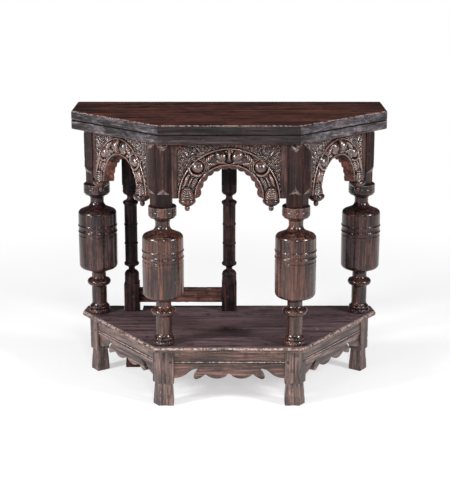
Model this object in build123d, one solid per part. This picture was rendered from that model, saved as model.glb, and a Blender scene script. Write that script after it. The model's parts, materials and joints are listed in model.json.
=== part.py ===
"""A folding-top oak communion table: half octagonal, on four turned legs, with a gate behind.

Millimetres, +Z up. X runs along the straight back edge, -Y is the front. The origin is on the floor,
below the middle of the closed table.
"""

from build123d import *
import math
import os

# Heights above the floor
TABLE_HEIGHT = 853.0
LEAF_THICKNESS = 28.0
LEAF_GAP = 0.3
HINGE_Z = TABLE_HEIGHT - LEAF_THICKNESS
TOP_UNDERSIDE = HINGE_Z - LEAF_THICKNESS
SHELF_TOP = 191.0
SHELF_THICKNESS = 14.0
SHELF_UNDERSIDE = SHELF_TOP - SHELF_THICKNESS
RAIL_BOTTOM = 126.0
FOOT_STEP_Z = 70.0
BLOCK_BOTTOM = 612.5
ARCADE_BOTTOM = 637.0

# Plan, measured from the back edge of the top, before everything is centred on the origin
LEAF_BACK_HALF = 478.0
LEAF_SIDE_Y = -190.0
LEAF_FRONT_HALF = 203.0
LEAF_FRONT_Y = -464.0
LEAF_BOARD_JOINTS = (-258.0, -76.0)
LEAF_ARRIS = 2.5
SHELF_BACK_HALF = 462.0
SHELF_BACK_Y = -34.0
SHELF_SIDE_HALF = 471.5
SHELF_SIDE_Y = -97.0
SHELF_FRONT_HALF = 220.0
SHELF_FRONT_Y = -466.0
SHELF_BOARD_JOINTS = (-286.0, -139.0)
SHELF_ARRIS = 4.0

# Leg blocks and foot posts: the same plan above and below
CANT_ANGLE = 55.0
BLOCK_FRONT_Y = -442.0
BLOCK_INNER_X = 165.0
BLOCK_CORNER_X = 212.0
BLOCK_DEPTH = 46.0
FRONT_BLOCK_CANT = 32.0
CANT_SPAN = 335.0
OUTER_BLOCK_WIDTH = 44.0
FRONT_LEG_AXIS = (194.0, -418.0)
OUTER_LEG_T = 395.0
OUTER_LEG_N = 28.5
BULB_RADIUS = 61.9
LEG_TENON_RADIUS = 13.0
LEG_TENON_BOTTOM = 150.0
FOOT_INSET = 4.5
FOOT_FLARE = 1.0
FOOT_FLARE_Z = 12.0

# Arcades: three carved boards with a round arch each
ARCADE_RECESS = 2.0
ARCADE_THICKNESS = 25.0
ARCADE_TONGUE_LENGTH = 8.0
ARCADE_TONGUE_FRONT = 8.0
ARCH_FRONT_RADIUS = 100.0
ARCH_BACK_RADIUS = 81.0
ARCH_OUTER_RADIUS = 148.0
ARCH_BAND_RELIEF = 4.0
PENDANT_X = 121.0
PENDANT_Y = 3.5
PENDANT_CAP_RADIUS = 20.0
PENDANT_BALL_RADIUS = 25.0
PENDANT_SPIGOT_RADIUS = 6.0
PENDANT_SPIGOT_LENGTH = 18.0

# Jewels: hipped ridges on the leg blocks
JEWEL_BOTTOM = 648.0
JEWEL_TOP = 796.0
JEWEL_RISE = 16.0
JEWEL_HIP = 22.0
JEWEL_FRONT_X = 190.0
JEWEL_FRONT_WIDTH = 38.0
JEWEL_CANT_WIDTH = 30.0
JEWEL_OUTER_WIDTH = 40.0

# Rails and aprons round the base, and the frieze rail behind
RAIL_RECESS = 5.0
RAIL_THICKNESS = 25.0
RAIL_GROOVES = (132.0, 139.0)
RAIL_GROOVE_WIDTH = 3.0
RAIL_GROOVE_DEPTH = 2.0
TENON_THICKNESS = 12.0
TENON_LENGTH = 20.0
TENON_BOTTOM = RAIL_BOTTOM + 4.0
TENON_TOP = LEG_TENON_BOTTOM - 4.0
APRON_RECESS = 9.0
APRON_THICKNESS = 16.0
REAR_RAIL_FRONT_Y = -106.0
REAR_RAIL_BACK_Y = -82.0
FRIEZE_FRONT_Y = -141.0
FRIEZE_BACK_Y = -117.0
FRIEZE_BOTTOM = 740.0

# Gate: a pivot post, a leg and two rails, which swing out behind
GATE_Y = -80.0
GATE_LEG_X = -312.0
GATE_HALF = 24.0
GATE_TOP_GAP = 0.7
GATE_LEG_TOP = TOP_UNDERSIDE - GATE_TOP_GAP
GATE_POST_TOP = 770.0
GATE_BLOCK_TOP = 283.0
GATE_UPPER_BLOCK_BOTTOM = 606.0
GATE_POST_GAP = 1.0
GATE_STANDING_GAP = 2.5
GATE_FLOOR_GAP = 1.0
GATE_RAIL_GAP = 3.0
GATE_FOOT_TOP = RAIL_BOTTOM - GATE_RAIL_GAP
GATE_HALVING = 2.0
GATE_RAIL_HALF = 11.0
GATE_LOWER_RAIL = (218.0, 263.0)
GATE_UPPER_RAIL = (722.0, 768.0)
GATE_TENON_HALF = 6.0
GATE_TENON_LENGTH = 26.0
GATE_TENON_SHOULDER = 7.0
PINTLE_RADIUS = 9.0
PINTLE_LENGTH = 20.0
LOWER_PINTLE_BOTTOM = 160.0
PIVOT_BLOCK_HALF = 31.0
LOWER_PIVOT_BLOCK_BOTTOM = 147.0
UPPER_PIVOT_BLOCK_BOTTOM = 777.0
PIVOT_BLOCK_BACK_Y = -54.0
NOTCH_INNER_GAP = 8.0
NOTCH_OUTER_GAP = 4.0
NOTCH_FRONT_Y = -84.0

# Hinges, pins, nails, pegs and dowels
HINGE_X = (-300.0, 300.0)
KNUCKLE_RADIUS = 4.5
KNUCKLE_CLEARANCE = 0.7
HINGE_LENGTH = 60.0
HINGE_GAP = 0.4
HINGE_PLATE_DEPTH = 42.0
HINGE_PLATE_THICKNESS = 2.0
HINGE_PIN_RADIUS = 2.0
NAIL_RADIUS = 1.5
NAIL_HEAD_RADIUS = 3.5
NAIL_HEAD_THICKNESS = 1.0
NAIL_LENGTH = 14.0
NAIL_SPACING = 20.0
OUTER_NAIL_Y = -29.4
MIDDLE_NAIL_Y = -16.8
FIT = 0.05
HOLE_END_GAP = 1.0
PEG_RADIUS = 4.0
TOP_PEG_RADIUS = 5.0
TOP_PEG_LENGTH = 55.0
DOWEL_RADIUS = 5.0
DOWEL_LENGTH = 60.0
LEAF_DOWEL_X = (-300.0, -100.0, 100.0, 300.0)
SHELF_DOWEL_RADIUS = 3.0
SHELF_DOWEL_REACH = (240.0, 360.0)
SHELF_PEG_LENGTH = 34.0
SHELF_PEG_INSET = 110.0

# The closed table reaches from the front bulbs to the back of the hinge knuckles
CENTRE_Y = (FRONT_LEG_AXIS[1] - BULB_RADIUS + KNUCKLE_RADIUS) / 2
# Further out than any part of the table, for cuts that run right through
BEYOND = 1000.0
CANT_COS = math.cos(math.radians(CANT_ANGLE))
CANT_SIN = math.sin(math.radians(CANT_ANGLE))
SPAN = 2 * BLOCK_INNER_X


def cant(along, inward):
    """Plan point on the right canted side: along it from the front corner, and in from its face."""
    x = BLOCK_CORNER_X + along * CANT_COS - inward * CANT_SIN
    y = BLOCK_FRONT_Y + along * CANT_SIN + inward * CANT_COS
    return (x, y)


def mirrored(points):
    return [(-x, y) for x, y in reversed(points)]


OUTER_START = FRONT_BLOCK_CANT + CANT_SPAN
OUTER_END = OUTER_START + OUTER_BLOCK_WIDTH
OUTER_LEG_AXIS = cant(OUTER_LEG_T, OUTER_LEG_N)
FRONT_BLOCK = [
    (BLOCK_INNER_X, BLOCK_FRONT_Y),
    (BLOCK_CORNER_X, BLOCK_FRONT_Y),
    cant(FRONT_BLOCK_CANT, 0),
    cant(FRONT_BLOCK_CANT, BLOCK_DEPTH),
    (BLOCK_INNER_X, BLOCK_FRONT_Y + BLOCK_DEPTH),
]
OUTER_BLOCK = [
    cant(OUTER_START, 0),
    cant(OUTER_END, 0),
    cant(OUTER_END, BLOCK_DEPTH),
    cant(OUTER_START, BLOCK_DEPTH),
]
LEAF_PLAN = [
    (-LEAF_BACK_HALF, -LEAF_GAP / 2),
    (-LEAF_BACK_HALF, LEAF_SIDE_Y),
    (-LEAF_FRONT_HALF, LEAF_FRONT_Y),
    (LEAF_FRONT_HALF, LEAF_FRONT_Y),
    (LEAF_BACK_HALF, LEAF_SIDE_Y),
    (LEAF_BACK_HALF, -LEAF_GAP / 2),
]
SHELF_PLAN = [
    (-SHELF_BACK_HALF, SHELF_BACK_Y),
    (-SHELF_SIDE_HALF, SHELF_SIDE_Y),
    (-SHELF_FRONT_HALF, SHELF_FRONT_Y),
    (SHELF_FRONT_HALF, SHELF_FRONT_Y),
    (SHELF_SIDE_HALF, SHELF_SIDE_Y),
    (SHELF_BACK_HALF, SHELF_BACK_Y),
]
LEGS = {
    "front_left": (mirrored(FRONT_BLOCK), (-FRONT_LEG_AXIS[0], FRONT_LEG_AXIS[1])),
    "front_right": (FRONT_BLOCK, FRONT_LEG_AXIS),
    "outer_left": (mirrored(OUTER_BLOCK), (-OUTER_LEG_AXIS[0], OUTER_LEG_AXIS[1])),
    "outer_right": (OUTER_BLOCK, OUTER_LEG_AXIS),
}
CANT_MIDDLE = cant(FRONT_BLOCK_CANT + CANT_SPAN / 2, 0)
SIDES = {
    "front": (Location((0, BLOCK_FRONT_Y, 0)), SPAN),
    "right": (Location((CANT_MIDDLE[0], CANT_MIDDLE[1], 0), (0, 0, CANT_ANGLE)), CANT_SPAN),
    "left": (Location((-CANT_MIDDLE[0], CANT_MIDDLE[1], 0), (0, 0, -CANT_ANGLE)), CANT_SPAN),
}


# Shapes that many pieces share


def prism(points, low, high):
    """A plan outline raised between two heights."""
    face = Polygon(*points, align=None)
    return extrude(Pos(0, 0, low) * face, amount=high - low, dir=(0, 0, 1))


def block(x_range, y_range, z_range):
    """A box between the given limits."""
    size = [high - low for low, high in (x_range, y_range, z_range)]
    middle = [(high + low) / 2 for low, high in (x_range, y_range, z_range)]
    return Pos(*middle) * Box(*size)


def rod(x, y, low, high, radius):
    """An upright cylinder."""
    return Pos(x, y, (low + high) / 2) * Cylinder(radius, high - low)


def rod_along_y(x, z, low, high, radius):
    """A cylinder that lies front to back."""
    return Pos(x, (low + high) / 2, z) * Rot(90, 0, 0) * Cylinder(radius, high - low)


def edges_of(start, steps):
    """Straight steps (a, b) and arcs ((a, b) on the way, (a, b) at the end), in the XZ plane."""
    edges = []
    here = (start[0], 0, start[1])
    for step in steps:
        if isinstance(step[0], tuple):
            through = (step[0][0], 0, step[0][1])
            end = (step[1][0], 0, step[1][1])
            edges.append(ThreePointArc(here, through, end))
        else:
            end = (step[0], 0, step[1])
            edges.append(Line(here, end))
        here = end
    return edges


def turned(start, steps):
    """A lathe shape about Z, from an outline of radius and height that starts and ends on the axis."""
    edges = edges_of(start, steps)
    edges.append(Line(edges[-1] @ 1, edges[0] @ 0))
    return revolve(make_face(edges), axis=Axis.Z)


def chamfered_top(solid, size):
    """Takes the arris off the outline of the upper face."""
    return chamfer(solid.faces().sort_by(Axis.Z)[-1].edges(), size)


def chamfered_bottom(solid, size):
    return chamfer(solid.faces().sort_by(Axis.Z)[0].edges(), size)


def boards_of(solid, joints):
    """Cuts a slab into three boards that run left to right: front, middle, back."""
    limits = [-BEYOND, *joints, BEYOND]
    wide = (-BEYOND, BEYOND)
    return [solid & block(wide, pair, wide) for pair in zip(limits, limits[1:])]


def group(solids):
    return Compound(children=[s.solid() for s in solids])


# Hinges between the leaves


def knuckle(low, high, radius):
    """A length of the hinge barrel along X."""
    return Pos((low + high) / 2, 0, HINGE_Z) * Rot(0, 90, 0) * Cylinder(radius, high - low)


def hinge_nails(centre, upper):
    """Three nails that hold one plate, heads flush with it."""
    side = 1 if upper else -1
    face_z = HINGE_Z + side * LEAF_GAP / 2
    nails = []
    for step in (-1, 0, 1):
        x = centre + step * NAIL_SPACING
        y = OUTER_NAIL_Y if step else MIDDLE_NAIL_Y
        head_z = face_z + side * NAIL_HEAD_THICKNESS
        tip_z = face_z + side * NAIL_LENGTH
        head = rod(x, y, min(face_z, head_z), max(face_z, head_z), NAIL_HEAD_RADIUS)
        shank = rod(x, y, min(head_z, tip_z), max(head_z, tip_z), NAIL_RADIUS)
        nails.append(head + shank)
    return nails


def plate_blank(centre, upper):
    """The leaf of a hinge, let flush into the inner face of its board."""
    side = 1 if upper else -1
    face_z = HINGE_Z + side * LEAF_GAP / 2
    back_z = face_z + side * HINGE_PLATE_THICKNESS
    heights = (min(face_z, back_z), max(face_z, back_z))
    half = HINGE_LENGTH / 2
    return block((centre - half, centre + half), (-HINGE_PLATE_DEPTH, -LEAF_GAP), heights)


def hinge_plate(centre, upper):
    """A plate with its knuckles: the middle third above, the two outer thirds below."""
    third = HINGE_LENGTH / 3
    start = centre - HINGE_LENGTH / 2
    own = [(start + third, start + 2 * third)]
    other = [(start, start + third), (start + 2 * third, start + 3 * third)]
    if not upper:
        own, other = other, own
    plate = plate_blank(centre, upper)
    for low, high in other:
        plate -= knuckle(low - HINGE_GAP, high + HINGE_GAP, KNUCKLE_RADIUS + KNUCKLE_CLEARANCE)
    for low, high in own:
        plate += knuckle(low + HINGE_GAP / 2, high - HINGE_GAP / 2, KNUCKLE_RADIUS)
    plate -= knuckle(start, start + HINGE_LENGTH, HINGE_PIN_RADIUS + FIT)
    for nail in hinge_nails(centre, upper):
        plate -= nail
    return plate


def hinge_room(centre, upper):
    """What a board loses to a hinge: the plate's seat, the barrel's and the nail holes."""
    half = HINGE_LENGTH / 2 + HINGE_GAP
    room = plate_blank(centre, upper)
    room += knuckle(centre - half, centre + half, KNUCKLE_RADIUS + KNUCKLE_CLEARANCE)
    for nail in hinge_nails(centre, upper):
        room += nail
    return room


# The two leaves


def leaf_dowels(height, radius):
    """Dowels across both board joints of a leaf, or their holes."""
    half = DOWEL_LENGTH / 2
    dowels = []
    for joint in LEAF_BOARD_JOINTS:
        for x in LEAF_DOWEL_X:
            dowels.append(rod_along_y(x, height, joint - half, joint + half, radius))
    return dowels


def leaf(low, high, upper):
    """The three boards of a leaf, from front to back, and its dowels."""
    slab = prism(LEAF_PLAN, low, high)
    slab = chamfered_top(slab, LEAF_ARRIS) if upper else chamfered_bottom(slab, LEAF_ARRIS)
    for centre in HINGE_X:
        slab -= hinge_room(centre, upper)
    for hole in leaf_dowels((low + high) / 2, DOWEL_RADIUS + FIT):
        slab -= hole
    return boards_of(slab, LEAF_BOARD_JOINTS), leaf_dowels((low + high) / 2, DOWEL_RADIUS)


# Legs, foot posts and jewels


def leg_turning():
    """The turned part of a leg and the tenon under it: base, shaft, ring, bulb, collar."""
    return turned(
        (0, LEG_TENON_BOTTOM),
        [
            (LEG_TENON_RADIUS, LEG_TENON_BOTTOM),
            (LEG_TENON_RADIUS, SHELF_TOP),
            (31.5, SHELF_TOP),
            ((34.0, 197.5), (31.5, 204.0)),
            (29.0, 206.0),
            ((31.5, 210.5), (29.0, 215.0)),
            ((25.4, 220.0), (24.0, 230.0)),
            (24.0, 274.0),
            ((25.8, 280.0), (29.5, 283.0)),
            ((37.2, 293.0), (30.0, 303.0)),
            ((24.4, 306.5), (22.6, 313.0)),
            (22.6, 324.0),
            (27.5, 328.5),
            (50.0, 337.5),
            ((57.8, 343.5), (60.3, 354.0)),
            (61.0, 447.0),
            (60.0, 449.0),
            (60.3, 456.0),
            ((BULB_RADIUS, 459.0), (60.3, 462.0)),
            (60.0, 469.0),
            (60.3, 475.5),
            ((BULB_RADIUS, 478.5), (60.3, 481.5)),
            (60.0, 514.0),
            ((58.8, 522.0), (53.0, 528.0)),
            (38.0, 534.5),
            ((25.2, 543.0), (21.4, 559.0)),
            ((25.2, 572.0), (36.0, 577.0)),
            (41.3, 584.0),
            (41.3, 596.0),
            (40.0, 597.5),
            (41.3, 599.0),
            (41.3, 610.0),
            (39.0, BLOCK_BOTTOM),
            (0, BLOCK_BOTTOM),
        ],
    )


def leg(plan, axis):
    """A turned leg under its block, which stands as high as the underside of the top."""
    return Pos(*axis) * leg_turning() + prism(plan, BLOCK_BOTTOM, TOP_UNDERSIDE)


def foot_section(plan, inset, height):
    return Pos(0, 0, height) * offset(Polygon(*plan, align=None), -inset, kind=Kind.INTERSECTION)


def foot_post(plan, axis):
    """A post under the shelf, stepped in near the floor and flared again at it."""
    upper = prism(plan, FOOT_STEP_Z, SHELF_UNDERSIDE)
    sections = [foot_section(plan, FOOT_INSET, FOOT_STEP_Z), foot_section(plan, FOOT_FLARE, FOOT_FLARE_Z)]
    foot = loft(sections, ruled=True) + extrude(sections[-1], amount=FOOT_FLARE_Z, dir=(0, 0, -1))
    hole = rod(*axis, LEG_TENON_BOTTOM - HOLE_END_GAP, SHELF_UNDERSIDE, LEG_TENON_RADIUS + FIT)
    return upper + foot - hole


def jewel(place, width):
    """A ridge along Z with hipped ends, rising towards -Y from a face in the XZ plane."""
    half = width / 2
    ridge = prism([(-half, 0), (0, -JEWEL_RISE), (half, 0)], JEWEL_BOTTOM, JEWEL_TOP)
    side = [
        (0, JEWEL_BOTTOM),
        (-JEWEL_RISE, JEWEL_BOTTOM + JEWEL_HIP),
        (-JEWEL_RISE, JEWEL_TOP - JEWEL_HIP),
        (0, JEWEL_TOP),
    ]
    hips = extrude(Plane.YZ * Polygon(*side, align=None), amount=half, both=True)
    return place * (ridge & hips)


def jewels():
    """Six jewels: on both faces of the front blocks and on the canted faces of the outer ones."""
    front = Location((JEWEL_FRONT_X, BLOCK_FRONT_Y, 0))
    canted_at = cant(FRONT_BLOCK_CANT / 2, 0)
    outer_at = cant(OUTER_START + OUTER_BLOCK_WIDTH / 2, 0)
    canted = Location((canted_at[0], canted_at[1], 0), (0, 0, CANT_ANGLE))
    outer = Location((outer_at[0], outer_at[1], 0), (0, 0, CANT_ANGLE))
    right = {
        "jewel_front_right_face": jewel(front, JEWEL_FRONT_WIDTH),
        "jewel_front_right_cant": jewel(canted, JEWEL_CANT_WIDTH),
        "jewel_outer_right": jewel(outer, JEWEL_OUTER_WIDTH),
    }
    left = {name.replace("right", "left"): mirror(solid, about=Plane.YZ) for name, solid in right.items()}
    return right | left


# Arcades and pendants


def arcade_blank(span):
    """The whole board of an arcade before the arch is cut, with a thinner tongue at each end."""
    half = span / 2
    reach = half + ARCADE_TONGUE_LENGTH
    back_y = ARCADE_RECESS + ARCADE_THICKNESS
    heights = (ARCADE_BOTTOM, TOP_UNDERSIDE)
    board = block((-half, half), (ARCADE_RECESS, back_y), heights)
    return board + block((-reach, reach), (ARCADE_TONGUE_FRONT, back_y), heights)


def half_disc_ring(outer, inner, front_y, back_y):
    """The upper half of a ring about the arch's centre, between two depths."""
    middle = (front_y + back_y) / 2
    turn = Pos(0, middle, ARCADE_BOTTOM) * Rot(90, 0, 0)
    ring = turn * (Cylinder(outer, back_y - front_y) - Cylinder(inner, back_y - front_y))
    return ring & block((-outer, outer), (front_y, back_y), (ARCADE_BOTTOM, TOP_UNDERSIDE))


def pendant_cap():
    """The dome that an arcade swells into above a pendant."""
    return turned(
        (0, ARCADE_BOTTOM),
        [
            (PENDANT_CAP_RADIUS, ARCADE_BOTTOM),
            (PENDANT_CAP_RADIUS, ARCADE_BOTTOM + 12.0),
            ((17.0, ARCADE_BOTTOM + 24.0), (7.0, ARCADE_BOTTOM + 32.0)),
            (0, ARCADE_BOTTOM + 33.0),
        ],
    )


def arcade(span):
    """A board with a raised band round its arch, which narrows towards the back, and two caps."""
    back_y = ARCADE_RECESS + ARCADE_THICKNESS
    band_front = ARCADE_RECESS - ARCH_BAND_RELIEF
    board = arcade_blank(span)
    board += half_disc_ring(ARCH_OUTER_RADIUS, ARCH_FRONT_RADIUS, band_front, ARCADE_RECESS)
    cone = Cone(ARCH_BACK_RADIUS, ARCH_FRONT_RADIUS, back_y - band_front)
    board -= Pos(0, (band_front + back_y) / 2, ARCADE_BOTTOM) * Rot(90, 0, 0) * cone
    hole_top = ARCADE_BOTTOM + PENDANT_SPIGOT_LENGTH + HOLE_END_GAP
    for x in (-PENDANT_X, PENDANT_X):
        board += Pos(x, PENDANT_Y) * pendant_cap()
        board -= rod(x, PENDANT_Y, ARCADE_BOTTOM, hole_top, PENDANT_SPIGOT_RADIUS + FIT)
    return board


def pendant():
    """A squashed ball and a small knob under it, with a spigot on top."""
    top = ARCADE_BOTTOM
    return turned(
        (0, top + PENDANT_SPIGOT_LENGTH),
        [
            (PENDANT_SPIGOT_RADIUS, top + PENDANT_SPIGOT_LENGTH),
            (PENDANT_SPIGOT_RADIUS, top),
            (PENDANT_BALL_RADIUS - 4.0, top),
            ((PENDANT_BALL_RADIUS, top - 7.0), (PENDANT_BALL_RADIUS - 5.0, top - 15.0)),
            ((14.0, top - 20.0), (5.5, top - 22.0)),
            ((7.6, top - 29.0), (4.0, top - 36.0)),
            (0, top - 37.5),
        ],
    )


# Rails and aprons of the base


def base_rail(span):
    """A rail with two grooves along its lower edge and a tenon at each end."""
    half = span / 2
    depth = (RAIL_RECESS, RAIL_RECESS + RAIL_THICKNESS)
    middle = (depth[0] + depth[1]) / 2
    rail = block((-half, half), depth, (RAIL_BOTTOM, SHELF_UNDERSIDE))
    for low in RAIL_GROOVES:
        groove = (RAIL_RECESS, RAIL_RECESS + RAIL_GROOVE_DEPTH)
        rail -= block((-half, half), groove, (low, low + RAIL_GROOVE_WIDTH))
    reach = half + TENON_LENGTH
    tenon = (middle - TENON_THICKNESS / 2, middle + TENON_THICKNESS / 2)
    rail += block((-reach, reach), tenon, (TENON_BOTTOM, TENON_TOP))
    return rail


def apron(span):
    """A board under the rail: bracket, tongue and lobe, and the same mirrored."""
    half = span / 2
    steps = [
        (-half, 86.0),
        ((-half + 26.0, 91.0), (-half + 44.0, 104.0)),
        ((-half + 58.0, 112.5), (-half + 77.0, 115.0)),
        ((-half + 65.0, 103.0), (-half + 58.0, 88.0)),
        ((-half + 64.0, 82.5), (-half + 73.0, 84.0)),
        ((-half + 84.0, 89.5), (-half + 94.0, 98.0)),
        ((-half + 126.0, 84.0), (-9.0, 92.0)),
        ((-5.0, 97.0), (0, 99.0)),
        (0, RAIL_BOTTOM),
        (-half, RAIL_BOTTOM),
    ]
    edges = edges_of((-half, RAIL_BOTTOM), steps)
    half_face = Pos(0, APRON_RECESS, 0) * make_face(edges)
    left = extrude(half_face, amount=APRON_THICKNESS, dir=(0, 1, 0))
    return left + mirror(left, about=Plane.YZ)


def rear_rail():
    """The rail under the back of the shelf, between the outer posts."""
    wide = (-OUTER_LEG_AXIS[0], OUTER_LEG_AXIS[0])
    return block(wide, (REAR_RAIL_FRONT_Y, REAR_RAIL_BACK_Y), (RAIL_BOTTOM, SHELF_UNDERSIDE))


def frieze_rail():
    """The rail under the back of the top, between the outer blocks."""
    reach = cant(OUTER_END, 0)[0]
    return block((-reach, reach), (FRIEZE_FRONT_Y, FRIEZE_BACK_Y), (FRIEZE_BOTTOM, TOP_UNDERSIDE))


def lower_pintle_hole():
    """The hole for the lower pintle, down through the shelf and into its bearing block."""
    return rod(0, GATE_Y, LOWER_PINTLE_BOTTOM - HOLE_END_GAP, SHELF_TOP, PINTLE_RADIUS + FIT)


def pivot_blocks():
    """The bearing blocks for the gate's pintles: one below the shelf, one below the top."""
    wide = (-PIVOT_BLOCK_HALF, PIVOT_BLOCK_HALF)
    lower = block(wide, (REAR_RAIL_BACK_Y, PIVOT_BLOCK_BACK_Y), (LOWER_PIVOT_BLOCK_BOTTOM, SHELF_UNDERSIDE))
    upper = block(wide, (FRIEZE_BACK_Y, PIVOT_BLOCK_BACK_Y), (UPPER_PIVOT_BLOCK_BOTTOM, TOP_UNDERSIDE))
    upper_hole_top = GATE_POST_TOP + PINTLE_LENGTH + HOLE_END_GAP
    lower -= lower_pintle_hole()
    upper -= rod(0, GATE_Y, UPPER_PIVOT_BLOCK_BOTTOM, upper_hole_top, PINTLE_RADIUS + FIT)
    return lower, upper


# Gate


def column():
    """The turned stretch that the pivot post and the gate leg share."""
    return turned(
        (0, GATE_BLOCK_TOP),
        [
            (23.0, GATE_BLOCK_TOP),
            (23.0, 302.0),
            (22.0, 304.0),
            (23.0, 306.0),
            ((20.5, 318.0), (11.5, 325.0)),
            ((10.0, 330.0), (13.5, 337.0)),
            (21.5, 340.5),
            ((23.8, 345.5), (21.5, 350.5)),
            (20.0, 353.0),
            (20.0, 409.5),
            ((21.8, 412.5), (20.0, 415.5)),
            (20.0, 471.5),
            ((21.8, 474.5), (20.0, 477.5)),
            (20.0, 536.0),
            (22.0, 540.0),
            ((24.4, 545.0), (22.0, 550.0)),
            (14.0, 554.0),
            ((10.4, 562.0), (13.0, 570.0)),
            ((21.5, 575.0), (24.0, 585.0)),
            (23.0, 587.0),
            (24.0, 589.0),
            (24.0, GATE_UPPER_BLOCK_BOTTOM),
            (0, GATE_UPPER_BLOCK_BOTTOM),
        ],
    )


def square(x, low, high):
    """A square length of a gate post."""
    return block((x - GATE_HALF, x + GATE_HALF), (GATE_Y - GATE_HALF, GATE_Y + GATE_HALF), (low, high))


def pivot_post():
    """The post that the gate turns on, with a round pintle at each end."""
    standing = SHELF_TOP + GATE_POST_GAP
    post = Pos(0, GATE_Y) * column()
    post += square(0, standing, GATE_BLOCK_TOP)
    post += square(0, GATE_UPPER_BLOCK_BOTTOM, GATE_POST_TOP)
    post += rod(0, GATE_Y, LOWER_PINTLE_BOTTOM, standing, PINTLE_RADIUS)
    post += rod(0, GATE_Y, GATE_POST_TOP, GATE_POST_TOP + PINTLE_LENGTH, PINTLE_RADIUS)
    return post


def gate_leg():
    """The leg that swings out. Its front half is cut away where it passes the shelf and rail."""
    standing = SHELF_TOP + GATE_STANDING_GAP
    x_range = (GATE_LEG_X - GATE_HALF, GATE_LEG_X + GATE_HALF)
    leg_solid = Pos(GATE_LEG_X, GATE_Y) * column()
    leg_solid += square(GATE_LEG_X, standing, GATE_BLOCK_TOP)
    leg_solid += square(GATE_LEG_X, GATE_UPPER_BLOCK_BOTTOM, GATE_LEG_TOP)
    leg_solid += block(x_range, (GATE_Y + GATE_HALVING, GATE_Y + GATE_HALF), (GATE_FOOT_TOP, standing))
    leg_solid += square(GATE_LEG_X, FOOT_STEP_Z, GATE_FOOT_TOP)
    plan = [
        (x_range[0], GATE_Y - GATE_HALF),
        (x_range[1], GATE_Y - GATE_HALF),
        (x_range[1], GATE_Y + GATE_HALF),
        (x_range[0], GATE_Y + GATE_HALF),
    ]
    sections = [foot_section(plan, FOOT_INSET, FOOT_STEP_Z), foot_section(plan, FOOT_FLARE, FOOT_FLARE_Z)]
    leg_solid += loft(sections, ruled=True)
    leg_solid += extrude(sections[-1], amount=FOOT_FLARE_Z - GATE_FLOOR_GAP, dir=(0, 0, -1))
    return leg_solid


def gate_rail(heights):
    """A rail between the pivot post and the gate leg, tenoned into both."""
    inner = -GATE_HALF
    outer = GATE_LEG_X + GATE_HALF
    rail = block((outer, inner), (GATE_Y - GATE_RAIL_HALF, GATE_Y + GATE_RAIL_HALF), heights)
    thin = (GATE_Y - GATE_TENON_HALF, GATE_Y + GATE_TENON_HALF)
    short = (heights[0] + GATE_TENON_SHOULDER, heights[1] - GATE_TENON_SHOULDER)
    reach = (outer - GATE_TENON_LENGTH, inner + GATE_TENON_LENGTH)
    return rail + block(reach, thin, short)


def gate_pegs():
    """A peg through each of the gate's four tenons."""
    pegs = []
    for heights in (GATE_LOWER_RAIL, GATE_UPPER_RAIL):
        height = sum(heights) / 2
        for x in (GATE_LEG_X + PEG_RADIUS, -PEG_RADIUS):
            pegs.append(rod_along_y(x, height, GATE_Y - GATE_HALF, GATE_Y + GATE_HALF, PEG_RADIUS))
    return pegs


# Shelf


def shelf_slab():
    slab = chamfered_top(prism(SHELF_PLAN, SHELF_UNDERSIDE, SHELF_TOP), SHELF_ARRIS)
    for _, axis in LEGS.values():
        slab -= rod(*axis, SHELF_UNDERSIDE, SHELF_TOP, LEG_TENON_RADIUS + FIT)
    slab -= lower_pintle_hole()
    notch_x = (GATE_LEG_X - GATE_HALF - NOTCH_OUTER_GAP, GATE_LEG_X + GATE_HALF + NOTCH_INNER_GAP)
    return slab - block(notch_x, (NOTCH_FRONT_Y, 0), (SHELF_UNDERSIDE, SHELF_TOP))


def shelf_dowels(radius):
    """Thin dowels across both board joints of the shelf, or their holes."""
    height = SHELF_UNDERSIDE + SHELF_THICKNESS / 2
    half = DOWEL_LENGTH / 2
    dowels = []
    for joint, reach in zip(SHELF_BOARD_JOINTS, SHELF_DOWEL_REACH):
        for x in (-reach, 0.0, reach):
            dowels.append(rod_along_y(x, height, joint - half, joint + half, radius))
    return dowels


def shelf_pegs():
    """Pegs down through the shelf into the front and canted rails."""
    inward = RAIL_RECESS + RAIL_THICKNESS / 2
    pegs = []
    for place, _ in SIDES.values():
        for x in (-SHELF_PEG_INSET, SHELF_PEG_INSET):
            peg = rod(x, inward, SHELF_TOP - SHELF_PEG_LENGTH, SHELF_TOP, PEG_RADIUS)
            pegs.append(place * peg)
    return pegs


def top_pegs():
    """A peg down through the lower leaf into each leg block."""
    top = HINGE_Z - LEAF_GAP / 2
    pegs = []
    for plan, _ in LEGS.values():
        x = sum(point[0] for point in plan) / len(plan)
        y = sum(point[1] for point in plan) / len(plan)
        pegs.append(rod(x, y, top - TOP_PEG_LENGTH, top, TOP_PEG_RADIUS))
    return pegs


def rail_pegs():
    """A peg through each tenon of the base rails, driven in from the post's outer face."""
    depth = RAIL_RECESS + RAIL_THICKNESS
    height = (TENON_BOTTOM + TENON_TOP) / 2
    pegs = []
    for place, span in SIDES.values():
        x = span / 2 + TENON_LENGTH / 2
        for side in (-x, x):
            pegs.append(place * rod_along_y(side, height, 0, depth, PEG_RADIUS))
    return pegs


# Assembly


def without(solid, cutters):
    for cutter in cutters:
        solid -= cutter
    return solid


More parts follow.
